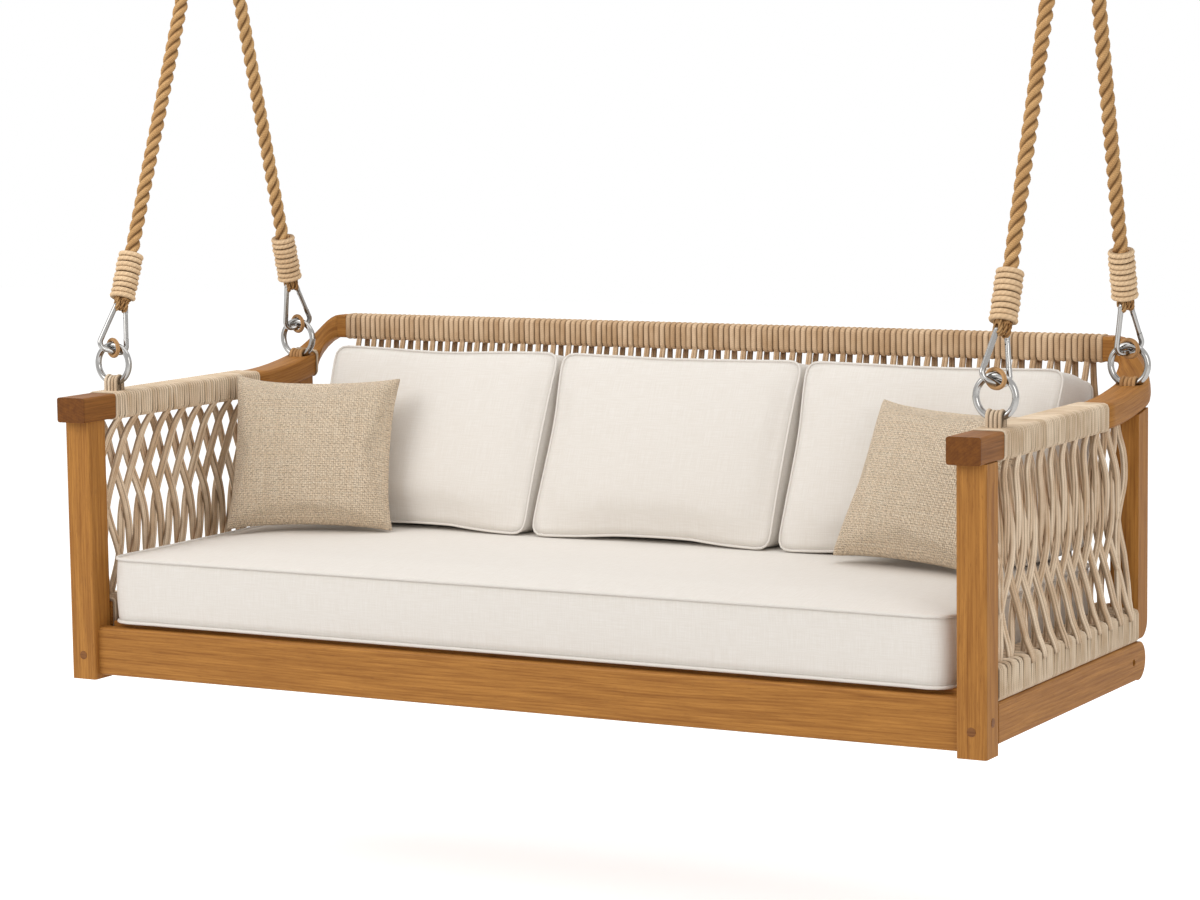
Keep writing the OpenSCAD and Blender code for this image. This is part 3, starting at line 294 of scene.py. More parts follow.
def cord_piece(name, tubes, material, body, replaced=()):
    """One mesh of many tubes. Each tube has its own number from 0 to 1 in the attribute tone."""
    points, faces, uvs, tones, count = [], [], [], [], 0
    draw = np.random.default_rng(len(name) * 7 + len(tubes))
    # faces of a tube and its two ends follow each other, and the UVs keep that order
    for p, f, uv, ends in tubes:
        points.append(p)
        faces.extend((f + count).tolist())
        uvs.append(uv)
        for end in ends:
            faces.append([q + count for q in end])
            uvs.append(np.tile([[0.5, 0.0]], (len(end), 1)))
        tones.append(np.full(len(p), draw.random()))
        count += len(p)
    mesh = smooth_mesh(name, np.concatenate(points).tolist(), faces, np.concatenate(uvs))
    tone = mesh.attributes.new("tone", "FLOAT", "POINT")
    tone.data.foreach_set("value", np.concatenate(tones).astype(np.float32))
    mesh.materials.append(material)
    piece = add_object(name, mesh)
    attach(piece, body)
    if replaced:
        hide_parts(*replaced)
    return piece


# laid or plaited cord: ribs that run round it, with hairs along them, and painted shade in the
# grooves where strands or turns meet
cord_group, given, gives = new_group(
    "cord_lay", {"UV": "Vector", "Tone": "Float", "Ribs per metre": "Float", "Starts": "Float",
                 "Lobes": "Float"},
    {"Rib": "Float", "Hair": "Float", "Shade": "Float", "Groove shade": "Float"})
uv = outputs(add(cord_group, "SeparateXYZ", {0: given["UV"]}))
phase = uv["Y"] * given["Ribs per metre"] + uv["X"] * given["Starts"]
place = add(cord_group, "TexCoord", {}, "Object")
# meet is 1 where strands or turns meet; it drives the painted shade in the grooves
meet = (uv["X"] * given["Lobes"] * math.pi).of("COSINE").of("ABSOLUTE")
feed(gives, {"Rib": (phase * (2 * math.pi)).of("SINE") * 0.5 + 0.5,
             "Hair": noise(place, 700, 3, 0.6),
             "Shade": noise(place, 26) * 0.6 + given["Tone"] * 0.4,
             "Groove shade": meet ** (given["Lobes"] * given["Lobes"] * 0.85)})


def cord_material(name, light, dark, ribs, starts, crease, relief, lobes=2, groove_shade=0.7):
    """A cord or rope: colour between light and dark by tone, its ribs, and painted shade between
    the ribs and in the grooves where strands or turns meet.
    """
    material, tree, shader = new_material(name)
    lay = outputs(add(tree, "Group", {
        "UV": add(tree, "UVMap", {}, uv_map="UVMap"),
        "Tone": add(tree, "Attribute", {}, "Fac", attribute_name="tone"),
        "Ribs per metre": ribs, "Starts": starts, "Lobes": lobes}, node_tree=cord_group))
    body = blended((lay["Shade"] * 1.8 - 0.4).clamped(), dark, light)
    # painted shade in the valleys between the lay's ribs
    body = blended((1.0 - lay["Rib"]) * crease, body, shaded(dark, 0.45))
    # painted shade in the grooves where strands or turns meet
    body = blended(lay["Groove shade"] * groove_shade, body, shaded(dark, 0.4))
    body = blended(((lay["Hair"] - 0.5) * 0.5).clamped(), body, shaded(light, 1.5))
    feed(shader, {"Base Color": body, "Roughness": 0.85, "Specular IOR Level": 0.25,
                  "Normal": bump(lay["Rib"] * 0.7 + lay["Hair"] * 0.3, relief, 0.0012)})
    return material


rope_finish = cord_material("rope_finish", srgb(218, 176, 122), srgb(174, 124, 72), 340, 7, 0.24,
                            0.6, lobes=3, groove_shade=0.95)
whipping_finish = cord_material("whipping_finish", srgb(240, 208, 168), srgb(206, 168, 126), 120,
                                2, 0.20, 0.6)


def eye_strands(frame_up, z_bar, bar_r, strand_r, z_end, spread):
    """Three strands that go round a bar and fan out into the rope. The bar runs along local X."""
    tubes = []
    for k in (-1, 0, 1):
        x0, x1 = k * strand_r * 1.75, k * spread
        r = bar_r + strand_r + touch
        bar_z = z_bar - (bar_r * 0.6 * abs(k) if z_end > z_bar else 0)
        path = []
        for t in np.linspace(1, 0, 5):
            path.append((x0 + (x1 - x0) * t**1.3, -r + (r - eye_in) * t,
                         bar_z + (z_end - bar_z) * t))
        for a in np.linspace(math.pi, 2 * math.pi, 9)[1:-1]:
            path.append((x0, r * math.cos(a),
                         bar_z + (r * math.sin(a)) * (1 if z_end > z_bar else -1)))
        for t in np.linspace(0, 1, 5):
            path.append((x0 + (x1 - x0) * t**1.3, r - (r - eye_in) * t,
                         bar_z + (z_end - bar_z) * t))
        world = [frame_up @ Vector(p) for p in path]
        across = np.array(frame_up.to_3x3() @ Vector((1, 0, 0)))
        tubes.append(sweep(world, section_laid(strand_r, 3), across,
                           twist=2 * math.pi / (strand_r * 8)))
    return tubes


def whipping(frame_up, z0):
    """One cord wound round the rope, its turns close together and its ends tucked in. Each turn
    lies level and steps up to the next one at the back."""
    coil_r, rise = rope_r + whip_r + 0.0004, 2 * whip_r * 0.985
    rear = frame_up.to_3x3().inverted() @ Vector((-0.48, 0.88, 0))
    first = math.atan2(rear.y, rear.x)
    count = 24
    path = []
    for i in range(-3, count * whip_turns + 4):
        k = max(0, min(count * whip_turns - 1, i))
        a = first + 2 * math.pi * i / count
        tuck = 0.6 * whip_r * max(0, -i, i - count * whip_turns) / 3
        last = k >= count * (whip_turns - 1)
        step = 0 if last else max(0, k % count / count - 0.78) / 0.22
        r = coil_r - tuck + whip_wobble * math.sin(2.1 * k / count + 0.7)
        path.append((r * math.cos(a), r * math.sin(a), z0 + whip_r + rise * (k // count + step)
                     + 0.8 * whip_wobble * math.sin(2.6 * k / count)))
    world = [frame_up @ Vector(p) for p in path]
    axis = np.array(frame_up.to_3x3() @ Vector((0, 0, 1)))
    return sweep(world, section_round(whip_r, 8), axis)


eye_in, hook_eye_r, hook_eye_spread, hook_eye_rise = 0.0075, 0.0050, 0.0120, 0.012
master_bar_r, high_eye_r, high_eye_spread, high_eye_drop = 0.007, 0.0048, 0.007, 0.008
whip_r, whip_turns, whip_wobble, whip_len = 0.0056, 9, 0.0007, 0.108
low_whip_z, high_whip_drop = 0.002, 0.066
for side_name, side in SIDES:
    body = side_name + "_ropes"
    for end_name, front in ENDS:
        up = along_rope(side, front)
        turned = along_rope(side, front, hook_turn)
        foot, top = rope_ends(side, front)
        length = (top - foot).length
        rope_len = length - rope_end_gap - rope_start
        count = int(rope_len / 0.005)
        path = [up @ Vector((0, 0, rope_start + rope_len * i / count)) for i in range(count + 1)]
        name = f"{side_name}_{end_name}_rope"
        laid = sweep(path, section_laid(rope_r, 8), (0, 1, 0.01), twist=2 * math.pi / rope_lay)
        rope = cord_piece(name + "_laid", [laid], rope_finish, body, (name,))
        eyes = eye_strands(turned, hook_axis_l, hook_bar / 2, hook_eye_r,
                           rope_start + hook_eye_rise, hook_eye_spread)
        eyes += eye_strands(up, length, master_bar_r, high_eye_r,
                            length - rope_end_gap - high_eye_drop, high_eye_spread)
        eye_piece = cord_piece(name + "_eyes", eyes, rope_finish, body)
        low = cord_piece(name + "_low_whipping", [whipping(up, rope_start + low_whip_z)],
                         whipping_finish, body,
                         (side_name + "_whippings",) if front else ())
        high = cord_piece(name + "_high_whipping",
                          [whipping(up, length - high_whip_drop - whip_len)],
                          whipping_finish, body)

# ---- Ring ties ----
# A short grommet of twisted cord goes round the foot of each snap hook and the top of its ring, so
# that the two stay together.

tie_finish = cord_material("tie_finish", srgb(202, 158, 108), srgb(160, 116, 72), 300, 5, 0.12,
                           0.4, lobes=3, groove_shade=0.4)
tie_r, tie_x, tie_y, tie_points = 0.0042, 0.0225, -0.0138, 40
for side_name, side in SIDES:
    loops = []
    for end_name, front in ENDS:
        top = ring_centre(side, front) + Vector((0, 0, ring_r))
        high = ring_bar / 2 + touch + tie_r
        low = -(ring_bar + hook_bar) / 2 - hook_bar / 2 - 2 * touch - tie_r
        path = []
        for i in range(tie_points):
            a = 2 * math.pi * i / tie_points
            path.append(top + Vector((tie_x * side * math.cos(a), tie_y * side * math.cos(a),
                                      (high + low) / 2 + (high - low) / 2 * math.sin(a))))
        loops.append(sweep(path, section_round(tie_r, 12), (0.5, 0.86, 0.02), closed=True))
    cord_piece(side_name + "_tie_grommets", loops, tie_finish, side_name + "_ropes",
               (side_name + "_ring_ties",))

# ---- Rings, snap hooks, master rings and hangers ----
# Polished stainless bar bent and welded, with a sprung gate on each hook. The ceiling plates, links
# and bolts over the ropes are zinc plated, and the links turn on bronze bushings.


def metal(name, colour, rough, scratch):
    material, tree, shader = new_material(name)
    place = add(tree, "TexCoord", {}, "Object")
    fine = noise(scaled(place, (1, 1, 6)), 420)
    feed(shader, {"Base Color": blended(noise(place, 60, 3) * 0.5, colour, shaded(colour, 0.72)),
                  "Roughness": fine * scratch + (rough - scratch / 2), "Metallic": 1.0,
                  "Normal": bump(fine, 0.08, 0.0004)})
    return material


stainless = metal("polished_stainless", srgb(168, 166, 163), 0.12, 0.06)
zinc = metal("zinc_plate", srgb(176, 178, 180), 0.38, 0.16)
bronze = metal("bronze", srgb(176, 140, 84), 0.35, 0.12)


def finish(material, *nodes):
    for node in nodes:
        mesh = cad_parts[node].data
        mesh.materials.clear()
        mesh.materials.append(material)


finish(stainless, "front_rings", "rear_rings", "left_master_ring", "right_master_ring")
for side_name, _ in SIDES:
    for end_name, _ in ENDS:
        finish(stainless, f"{side_name}_{end_name}_hook", f"{side_name}_{end_name}_gate")
finish(zinc, "left_hanger", "right_hanger", "hanger_bolts", "hanger_nuts", "left_link",
       "right_link", "frame_bolts")
finish(bronze, "hanger_bushings")

# ---- Wooden frame ----
# Oiled hardwood with straight grain along each piece and small pores. Edges are eased, and the
# arms' end grain is darker.

wood_group, given, gives = new_group(
    "wood_grain", {"Vector": "Vector", "Light": "Color", "Dark": "Color"},
    {"Color": "Color", "Roughness": "Float", "Height": "Float"})
place = given["Vector"]
bend = vector_math("SCALE", noise(scaled(place, (1, 1, 0.10)), 9, output="Color"), scale=0.055)
moved = vector_math("ADD", scaled(place, (1, 1, 0.02)), bend)
rings = vector_math("LENGTH", scaled(moved, (1, 1, 0), (0.11, 0.17, 0)), output="Value") * 150
fibre = noise(scaled(place, (1, 1, 0.03)), 520, 3, 0.65)
streak = noise(scaled(place, (1, 1, 0.05)), 90, 3, 0.6)
pores = ((noise(scaled(place, (1, 1, 0.06)), 900, 1) - 0.62).clamped() * 6.0).clamped()
late = rings.of("FRACT") ** 3.0
tone = ((streak - 0.5) * 1.5 + ((fibre - 0.5) + (late * 0.30 + 0.36))).clamped()
feed(gives, {"Color": blended(pores * 0.45, blended(tone, given["Light"], given["Dark"]),
                              srgb(96, 58, 28)),
             "Roughness": fibre * 0.25 + 0.42, "Height": fibre * 0.6 - pores * 0.8})


def wood(name, grain, light=(182, 126, 60), dark=(128, 78, 30), attribute=None,
         offset=(0, 0, 0), end=None):
    """Wood whose grain runs along X, Y or Z, or along the third number of an attribute. end is
    the Y of a sawn end, which takes the oil darker."""
    material, tree, shader = new_material(name)
    if attribute:
        place = add(tree, "Attribute", {}, "Vector", attribute_name=attribute)
    else:
        place = add(tree, "TexCoord", {}, "Object")
    turn = {"x": (0, math.pi / 2, 0), "y": (math.pi / 2, 0, 0), "z": (0, 0, 0)}[grain]
    laid = add(tree, "Mapping", {"Rotation": turn, "Location": offset, "Vector": place})
    grained = outputs(add(tree, "Group", {"Vector": laid, "Light": srgb(*light),
                                          "Dark": srgb(*dark)}, node_tree=wood_group))
    tint = grained["Color"]
    if end is not None:
        inward = (outputs(add(tree, "SeparateXYZ", {0: place}))["Y"] - end) * (1 / 0.006)
        tint = blended(1.0 - inward.clamped(), tint, (0.62, 0.54, 0.38), "MULTIPLY")
    feed(shader, {"Base Color": tint, "Roughness": grained["Roughness"],
                  "Specular IOR Level": 0.2, "Normal": bump(grained["Height"], 0.35, 0.0006)})
    return material


wood_x, wood_y, wood_z = (wood("wood_along_" + axis, axis) for axis in "xyz")
wood_arm = wood("wood_of_arms", "y", (152, 98, 42), (106, 62, 22), offset=(0.02, 0, 0.03),
                end=arm_low.y)
wood_plug = wood("wood_plugs_end", "x", (150, 100, 56), (100, 60, 30))
finish(wood_z, "left_front_post", "right_front_post", "left_rear_post", "right_rear_post")
finish(wood_arm, "left_arm", "right_arm")
finish(wood_x, "front_rail", "back_bottom_rail", "back_top_rail", "back_panel_rail", "slat_cleats")
finish(wood_y, "left_side_rail", "right_side_rail", "side_panel_rails", "seat_slats")
finish(wood_plug, "wood_plugs")

# ---- Bent corners ----
# Each corner is steamed and carved from one piece: it follows the arm, rises over the rear post and
# turns into the back rail, twisting so that the arm's top becomes the rail's front. The grain
# follows.

half_w, bed_d, corner_r, rear_post_y, rear_post_d = 1.0, 0.817, 0.092, 0.765, 0.052
arm_w, arm_t, back_rail_t, post_h, section_r = 0.066, 0.050, 0.040, 0.525, 0.009
corner_lead, back_rise, arm_wrap_end = 0.024, 0.105, 0.599
rise_from = arm_wrap_end - rear_post_y
bend_arc = corner_r * math.pi / 2


def eased(t):
    t = min(1, max(0, t))
    return t * t * (3 - 2 * t)


def bend_rise(s):
    """Rise of the member's underside at s from the rear post's front, along the member."""
    share = (s - rear_post_d) / bend_arc
    if share <= 0:
        return corner_lead * (max(0, s - rise_from) / (rear_post_d - rise_from)) ** 2
    slope = 2 * corner_lead / (rear_post_d - rise_from) * bend_arc
    return corner_lead + (back_rise - corner_lead) * eased(share) + slope * share * (1 - share) ** 2


def bend_section(s):
    """Width, height and twist of the member's section at s, its middle's distance in from the outer
    face, and its middle's height."""
    share = eased((s - rear_post_d) / bend_arc)
    w, h = arm_w + (arm_t - arm_w) * share, arm_t + (back_rail_t - arm_t) * share
    twist = math.pi / 2 * share

    def reach(a, b):
        return (section_r + (a / 2 - section_r) * math.cos(twist)
                + (b / 2 - section_r) * math.sin(twist))

    height = post_h + bend_rise(s) + arm_t / 2 - (reach(h, w) - arm_t / 2) / 2
    return w, h, twist, reach(w, h), height


wood_bend = wood("wood_of_corners", "z", attribute="grain")
for side_name, side in SIDES:
    node = side_name + "_corner"
    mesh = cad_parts[node].data.copy()
    mesh.name = node + "_smoothed"
    made = bmesh.new()
    made.from_mesh(mesh)
    bmesh.ops.remove_doubles(made, verts=made.verts, dist=1e-5)
    made.to_mesh(mesh)
    made.free()
    grain = mesh.attributes.new("grain", "FLOAT_VECTOR", "POINT")
    for k, vertex in enumerate(mesh.vertices):
        x, y, z = side * vertex.co.x, vertex.co.y - feet.y, vertex.co.z - feet.z
        s, radius = y - rear_post_y, x - (half_w - corner_r)
        if y > bed_d:
            s = rear_post_d + corner_r * math.atan2(y - bed_d, radius)
            radius = math.hypot(y - bed_d, radius)
        _, _, twist, inset, height = bend_section(s)
        out, up = radius - corner_r + inset, z - height
        grain.data[k].vector = (out * math.cos(twist) + up * math.sin(twist),
                                up * math.cos(twist) - out * math.sin(twist), s)
    mesh.materials.clear()
    mesh.materials.append(wood_bend)
    piece = add_object(node + "_smoothed", mesh)
    bpy.context.view_layer.objects.active = piece
    piece.select_set(True)
    bpy.ops.object.shade_smooth_by_angle(angle=math.radians(40))
    piece.select_set(False)
    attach(piece, "bed")
    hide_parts(node)

# ---- Cord wraps ----
# One cord is wound round each rail: close turns between the lattice, and at each lattice stop two
# turns at the sides, or one at the back, from which the strands hang. At the edge where the strands
# leave, the turns beside them curl away.

cord, panel_z, panel_h = 0.008, 0.095, 0.066
side_first, side_pitch, side_count = 0.1035, 0.056, 12
back_pitch, back_count = 0.0379, 46
side_stops = [side_first + side_pitch * i for i in range(side_count)]
back_stops = [back_pitch * (i - (back_count - 1) / 2) for i in range(back_count)]
back_y, back_mid_z = 0.889, post_h + back_rise + arm_t / 2
low_back_y = 0.791
side_wrap_w, arm_wrap_h, side_turn = 0.072, 0.056, 0.0081
arm_wrap_start, low_wrap_start = 0.083, 0.058
back_top_half, back_top_w, back_top_h, back_top_turn = 0.886, 0.046, 0.056, 0.0125
back_low_half, back_low_w, back_low_turn = 0.942, 0.052, 0.012
back_turn_in, back_gap = 0.0022, 0.0128


def turn_path(w, h, r=0.006):
    """The middle line of one turn, w by h outside, from its lower edge and round."""
    a, b = w / 2 - cord / 2, h / 2 - cord / 2
    path = []
    for cx, cz, a0 in ((a - r, r - b, -90), (a - r, b - r, 0),
                       (r - a, b - r, 90), (r - a, r - b, 180)):
        for q in (0, 45, 90):
            t = math.radians(a0 + q)
            path.append((cx + r * math.cos(t), cz + r * math.sin(t)))
    return np.array(path)


def runs_between(a, b, stops, gap):
    inside = [s for s in stops if a + 0.015 < s < b - 0.015]
    starts = [a] + [s + gap / 2 for s in inside]
    ends = [s - gap / 2 for s in inside] + [b]
    return list(zip(starts, ends)), inside


def wound(a, b, stops, w, h, pitch, open_edge, place, turn_in, gap=0.0154, between=2):
    """All turns of one rail. place(s, x, z) puts a point at s along the rail; open_edge is -1
    where the strands leave below and 1 where they leave above, and there the outer turns bend in
    by turn_in."""
    shape = turn_path(w, h)
    groups, inside = runs_between(a, b, stops, gap)
    turns = []
    for start, end in groups:
        count = max(1, round((end - start) / pitch))
        step = (end - start) / count
        for k in range(count):
            near = []
            if start > a + 1e-6:
                near.append((k, 1))
            if end < b - 1e-6:
                near.append((count - 1 - k, -1))
            turns.append((start + step * (k + 0.5), step / 2, near))
    for s in inside:
        turns += [(s + (k + 0.5 - between / 2) * gap / between, gap / between / 2 - 0.0001, [])
                  for k in range(between)]
    tubes = []
    edge = shape[:, 1] * open_edge / (h / 2)
    curl = np.clip((edge - 0.3) / 0.6, 0, 1) ** 1.6
    for s, half, near in turns:
        along = np.full(len(shape), s)
        for rank, way in near:
            along += way * curl * turn_in * (1, 0.5, 0)[min(rank, 2)]
        path = np.array([place(q, x, z) for q, (x, z) in zip(along, shape)])
        up = np.array(place(s + 1, 0, 0)) - np.array(place(s, 0, 0))
        section = section_round(1.0, 8) * (half * 1.02, cord / 2)
        tubes.append(sweep(path, section, up, closed=True))
    return tubes


arm_finish = cord_material("arm_cord_finish", srgb(238, 218, 192), srgb(202, 174, 142), 260, 2,
                           0.12, 0.4, groove_shade=1.0)
back_finish = cord_material("back_cord_finish", srgb(224, 194, 160), srgb(186, 150, 112), 260, 2,
                            0.14, 0.45, groove_shade=0.8)
arm_turns, low_turns = [], []
for side in (-1, 1):
    def on_arm(s, x, z, side=side):
        return tuple(at(side * (arm_x + x), s, post_h + arm_t / 2 + z))

    def on_low(s, x, z, side=side):
        return tuple(at(side * (arm_x + x), s, panel_z + panel_h / 2 + z))

    arm_turns += wound(arm_wrap_start, arm_wrap_end, side_stops, side_wrap_w, arm_wrap_h,
                       side_turn, -1, on_arm, 0.005)
    low_turns += wound(low_wrap_start, rear_post_y, side_stops, side_wrap_w, panel_h,
                       side_turn, 1, on_low, 0.0085)
cord_piece("arm_cords", arm_turns, arm_finish, "bed", ("arm_wraps",))
cord_piece("side_low_cords", low_turns, arm_finish, "bed", ("side_low_wraps",))
cord_piece("back_top_cords",
           wound(-back_top_half, back_top_half, back_stops, back_top_w, back_top_h,
                 back_top_turn, -1,
                 lambda s, x, z: tuple(at(s, back_y + x, back_mid_z + z)),
                 back_turn_in, back_gap, 1),
           back_finish, "bed", ("back_top_wrap",))
cord_piece("back_low_cords",
           wound(-back_low_half, back_low_half, back_stops, back_low_w, panel_h,
                 back_low_turn, 1,
                 lambda s, x, z: tuple(at(s, low_back_y + x, panel_z + panel_h / 2 + z)),
                 back_turn_in, back_gap, 1),
           back_finish, "bed", ("back_low_wrap",))

# ---- Cord lattice ----
# From each stop one strand leaves the outer face of the rail and one its inner face. They shift two
# stops to either side on their way down, pass over and under each other, and turn back at the
# posts. A strand is three cords side by side at the sides and two at the back, drawn together where
# they pass onto a rail.

lattice_r, weave_depth, draw_in = 0.0040, 0.0044, 0.35
stray_d, own_d = 0.0012, 0.0007


def strand_line(i, way, count, steps=30):
    """Places along the rail from top to foot, in stops, and the share of the way down."""
    end, edge = i + way, (count - 0.5 if way > 0 else -0.5)
    rows = []
    for t in np.linspace(0, 1, steps):
        s = i + way * t
        if (s - edge) * way > 0:
            s = 2 * edge - s
        rows.append((s, t))
    back = [abs(s - edge) for s, _ in rows] if abs(end - i) > abs(edge - i) else [9] * steps
    return rows, back


def lattice_tubes(first, pitch, count, place, faces, draw, cords, middle=0.0):
    """faces(s) gives how far a strand of so many cords stands from the panel's plane at its top
    and its foot, and middle how far the net stands out between them."""
    tubes = []
    section = section_round(lattice_r, 6)
    up = np.array(place(first + 0.001, 0, 0, 0)) - np.array(place(first, 0, 0, 0))
    for i in range(count):
        for way in (-2, 2):
            side = math.copysign(1, way)
            rows, back = strand_line(i, way, count)
            top, foot = faces(first + i * pitch)
            stray = draw.normal(0, stray_d, 3)
            for rank in np.arange(cords) - (cords - 1) / 2:
                own = draw.normal(0, own_d, 2)
                path = []
                for (s, t), near in zip(rows, back):
                    high = max(0, 1 - t / draw_in) ** 2
                    low = min(1, max(0, 1.14 - (1 - t) / draw_in) ** 2)
                    weave = -side * math.cos(4 * math.pi * t) * weave_depth
                    weave *= min(1.0, near / 0.25, t / 0.12, (1 - t) / 0.12)
                    out = side * top * high + (foot if way > 0 else 0.3 * foot) * low
                    out += middle * (1 - high) * (1 - low)
                    drift = stray[0] * math.sin(2 * math.pi * t)
                    drift += stray[1] * math.sin(3 * math.pi * t)
                    apart = 0.0050 + 0.0022 * math.sin(math.pi * t) ** 0.5
                    apart += own[0] * math.sin(4 * t + rank)
                    extra = (0.0012 if rank == 0 else 0) + own[1] * math.sin(5 * t)
                    path.append(place(first + s * pitch + rank * apart + drift, t, weave + out,
                                      extra))
                tubes.append(sweep(path, section, up))
    return tubes


panel_top = panel_z + panel_h
lattice_finish = cord_material("lattice_cord_finish", srgb(250, 228, 200), srgb(202, 168, 132),
                               210, 2, 0.12, 0.45, groove_shade=0.9)
for side_name, side in SIDES:
    def on_panel(s, t, out, extra, side=side):
        high = post_h + bend_rise(s - rear_post_y) + 0.004
        return tuple(at(side * (arm_x + out + extra), s, high + (panel_top - 0.018 - high) * t))

    def side_faces(y):
        return (0.029 if y < arm_wrap_end else 0.004), 0.035

    cord_piece(side_name + "_lattice_cords",
               lattice_tubes(side_first, side_pitch, side_count, on_panel, side_faces,
                             np.random.default_rng(3 + side), 3, 0.010),
               lattice_finish, "bed", (side_name + "_lattice",))

back_panel_high = post_h + back_rise - 0.003
back_top = Vector(at(0, back_y, back_panel_high))
back_foot = Vector(at(0, low_back_y, panel_top))
lean = (back_top - back_foot).normalized()
outward = Vector((0, -lean.z, lean.y))


def on_back(s, t, out, extra):
    point = (back_top + (back_foot - back_top) * t + lean * (0.006 * (1 - t) - 0.006 * t)
             - outward * (out + extra))
    return (s, point.y, point.z)


cord_piece("back_lattice_cords",
           lattice_tubes(back_stops[0], back_pitch, back_count, on_back, lambda x: (0.016, 0.012),
                         np.random.default_rng(8), 2),
           back_finish, "bed", ("back_lattice",))

# ---- Ring lashings ----
# Four turns of cord hold each ring's foot to the arm: the arm's own pale cord in front, and strands
# of rope behind, where the wood is bare. A thin band of pale cord goes round the left corner.

lash_r, lash_cord, lash_turns, lash_pitch = 0.0109, 0.008, 4, 0.0082
front_lash, rear_lash = [], []
for side in (-1, 1):
    for front, tubes in ((True, front_lash), (False, rear_lash)):
        centre = ring_centre(side, front)
        for k in range(lash_turns):
            x = (k - (lash_turns - 1) / 2) * lash_pitch
            bar_z = centre.z - math.sqrt(ring_r**2 - x**2)
            foot_z = feet.z + arm_top - 0.010
            path = [(centre.x + x, centre.y - lash_r, z) for z in np.linspace(foot_z, bar_z, 4)]
            path += [(centre.x + x, centre.y - lash_r * math.cos(a), bar_z + lash_r * math.sin(a))
                     for a in np.linspace(0, math.pi, 11)[1:-1]]
            path += [(centre.x + x, centre.y + lash_r, z) for z in np.linspace(bar_z, foot_z, 4)]
            tubes.append(sweep(path, section_round(lash_cord / 2, 10), (1, 0, 0)))
cord_piece("front_lashing_cords", front_lash, arm_finish, "bed", ("ring_lashings",))
cord_piece("rear_lashing_cords", rear_lash, tie_finish, "bed")


def round_corner(side, s, r):
    """One turn of cord of radius r round the bent corner at s."""
    w, h, twist, inset, height = bend_section(s)
    turn = max(0, s - rear_post_d) / corner_r
    path = []
    for a in np.linspace(0, 2 * math.pi, 41)[:-1]:
        x = math.copysign(w / 2 - section_r, math.cos(a)) + (section_r + r) * math.cos(a)
        z = math.copysign(h / 2 - section_r, math.sin(a)) + (section_r + r) * math.sin(a)
        out = x * math.cos(twist) - z * math.sin(twist)
        up = x * math.sin(twist) + z * math.cos(twist)
        radius = corner_r - inset + out
        path.append(at(side * (half_w - corner_r + radius * math.cos(turn)),
                       rear_post_y + min(s, rear_post_d) + radius * math.sin(turn), height + up))
    return sweep(path, section_round(r, 8), (0, 1, 0), closed=True)


cord_piece("left_band_cords", [round_corner(-1, 0.060 + 0.0041 * k, 0.002) for k in range(3)],
           arm_finish, "bed")

# ---- Seat cushion ----
# A boxed cushion of pale linen over foam: a crowned top, a wall drawn in between the corners, and
# piping along both seams. It lies on the slats between the two side panels.


def seat_grid(w, h, r, draw, nx, ny):
    """Points of a flat panel with round corners and drawn-in sides, row by row."""
    u, v = np.meshgrid(np.linspace(-1, 1, nx), np.linspace(-1, 1, ny))
    x, y = u * w / 2, v * h / 2
    ax, ay = np.abs(x) - (w / 2 - r), np.abs(y) - (h / 2 - r)
    corner = (ax > 0) & (ay > 0)
    reach, length = np.maximum(ax, ay), np.hypot(ax, ay)
    k = np.where(corner, reach / np.where(length > 0, length, 1), 1)
    x = np.where(corner, np.sign(x) * (w / 2 - r + ax * k), x)
    y = np.where(corner, np.sign(y) * (h / 2 - r + ay * k), y)
    x = x * (1 - 2 * draw / w * (1 - v**2) * np.abs(u) ** 3)
    y = y * (1 - 2 * draw / h * (1 - u**2) * np.abs(v) ** 3)
    return x, y, u, v


def rim(nx, ny):
    """Grid indices round the edge, anticlockwise from the low corner."""
    low = list(range(nx))
    right = [j * nx + nx - 1 for j in range(1, ny)]
    top = [(ny - 1) * nx + i for i in range(nx - 2, -1, -1)]
    left = [j * nx for j in range(ny - 2, 0, -1)]
    return low + right + top + left


def cushion_mesh(name, w, h, r, draw, step, rows, profile, place):
    """A closed boxed cushion. profile(u, v) gives the crown of the front sheet, from 0 to 1;
    place(x, y, t) gives the point, t from 0 at the back sheet to 1 at the front seam and over."""
    nx, ny = int(w / step) + 1, int(h / step) + 1
    x, y, u, v = seat_grid(w, h, r, draw, nx, ny)
    crown = profile(u, v)
    edge = rim(nx, ny)
    sheet = list(zip(x.flat, y.flat))
    points = [place(px, py, 1 + c) for (px, py), c in zip(sheet, crown.flat)]
    uv_of = list(sheet)
    walls = [list(edge)]
    for q in range(1, rows):
        t = 1 - q / rows
        swell = 0.0035 * math.sin(math.pi * t)
        walls.append(list(range(len(points), len(points) + len(edge))))
        for px, py in (sheet[e] for e in edge):
            grow = 1 + swell / max(abs(px), abs(py), 0.05)
            points.append(place(px * grow, py * grow, t))
            uv_of.append((px, py))
    back = len(points)
    points += [place(px, py, 0) for px, py in sheet]
    uv_of += sheet
    walls.append([back + e for e in edge])
    faces = []
    for j in range(ny - 1):
        for i in range(nx - 1):
            a = j * nx + i
            faces.append((a, a + 1, a + nx + 1, a + nx))
            faces.append((back + a, back + a + nx, back + a + nx + 1, back + a + 1))
    m = len(edge)
    steps = [math.dist(uv_of[edge[k]], uv_of[edge[(k + 1) % m]]) for k in range(m)]
    arc = np.concatenate([[0], np.cumsum(steps)])
    uvs = [uv_of[q] for f in faces for q in f]
    deep = (Vector(place(0, 0, 1)) - Vector(place(0, 0, 0))).length
    for q in range(rows):
        v0, v1 = deep * (1 - q / rows), deep * (1 - (q + 1) / rows)
        for k in range(m):
            l = (k + 1) % m
            faces.append((walls[q][l], walls[q][k], walls[q + 1][k], walls[q + 1][l]))
            uvs += [(arc[k + 1], v0), (arc[k], v0), (arc[k], v1), (arc[k + 1], v1)]
    return add_object(name, smooth_mesh(name, [tuple(p) for p in points], faces, uvs)), walls


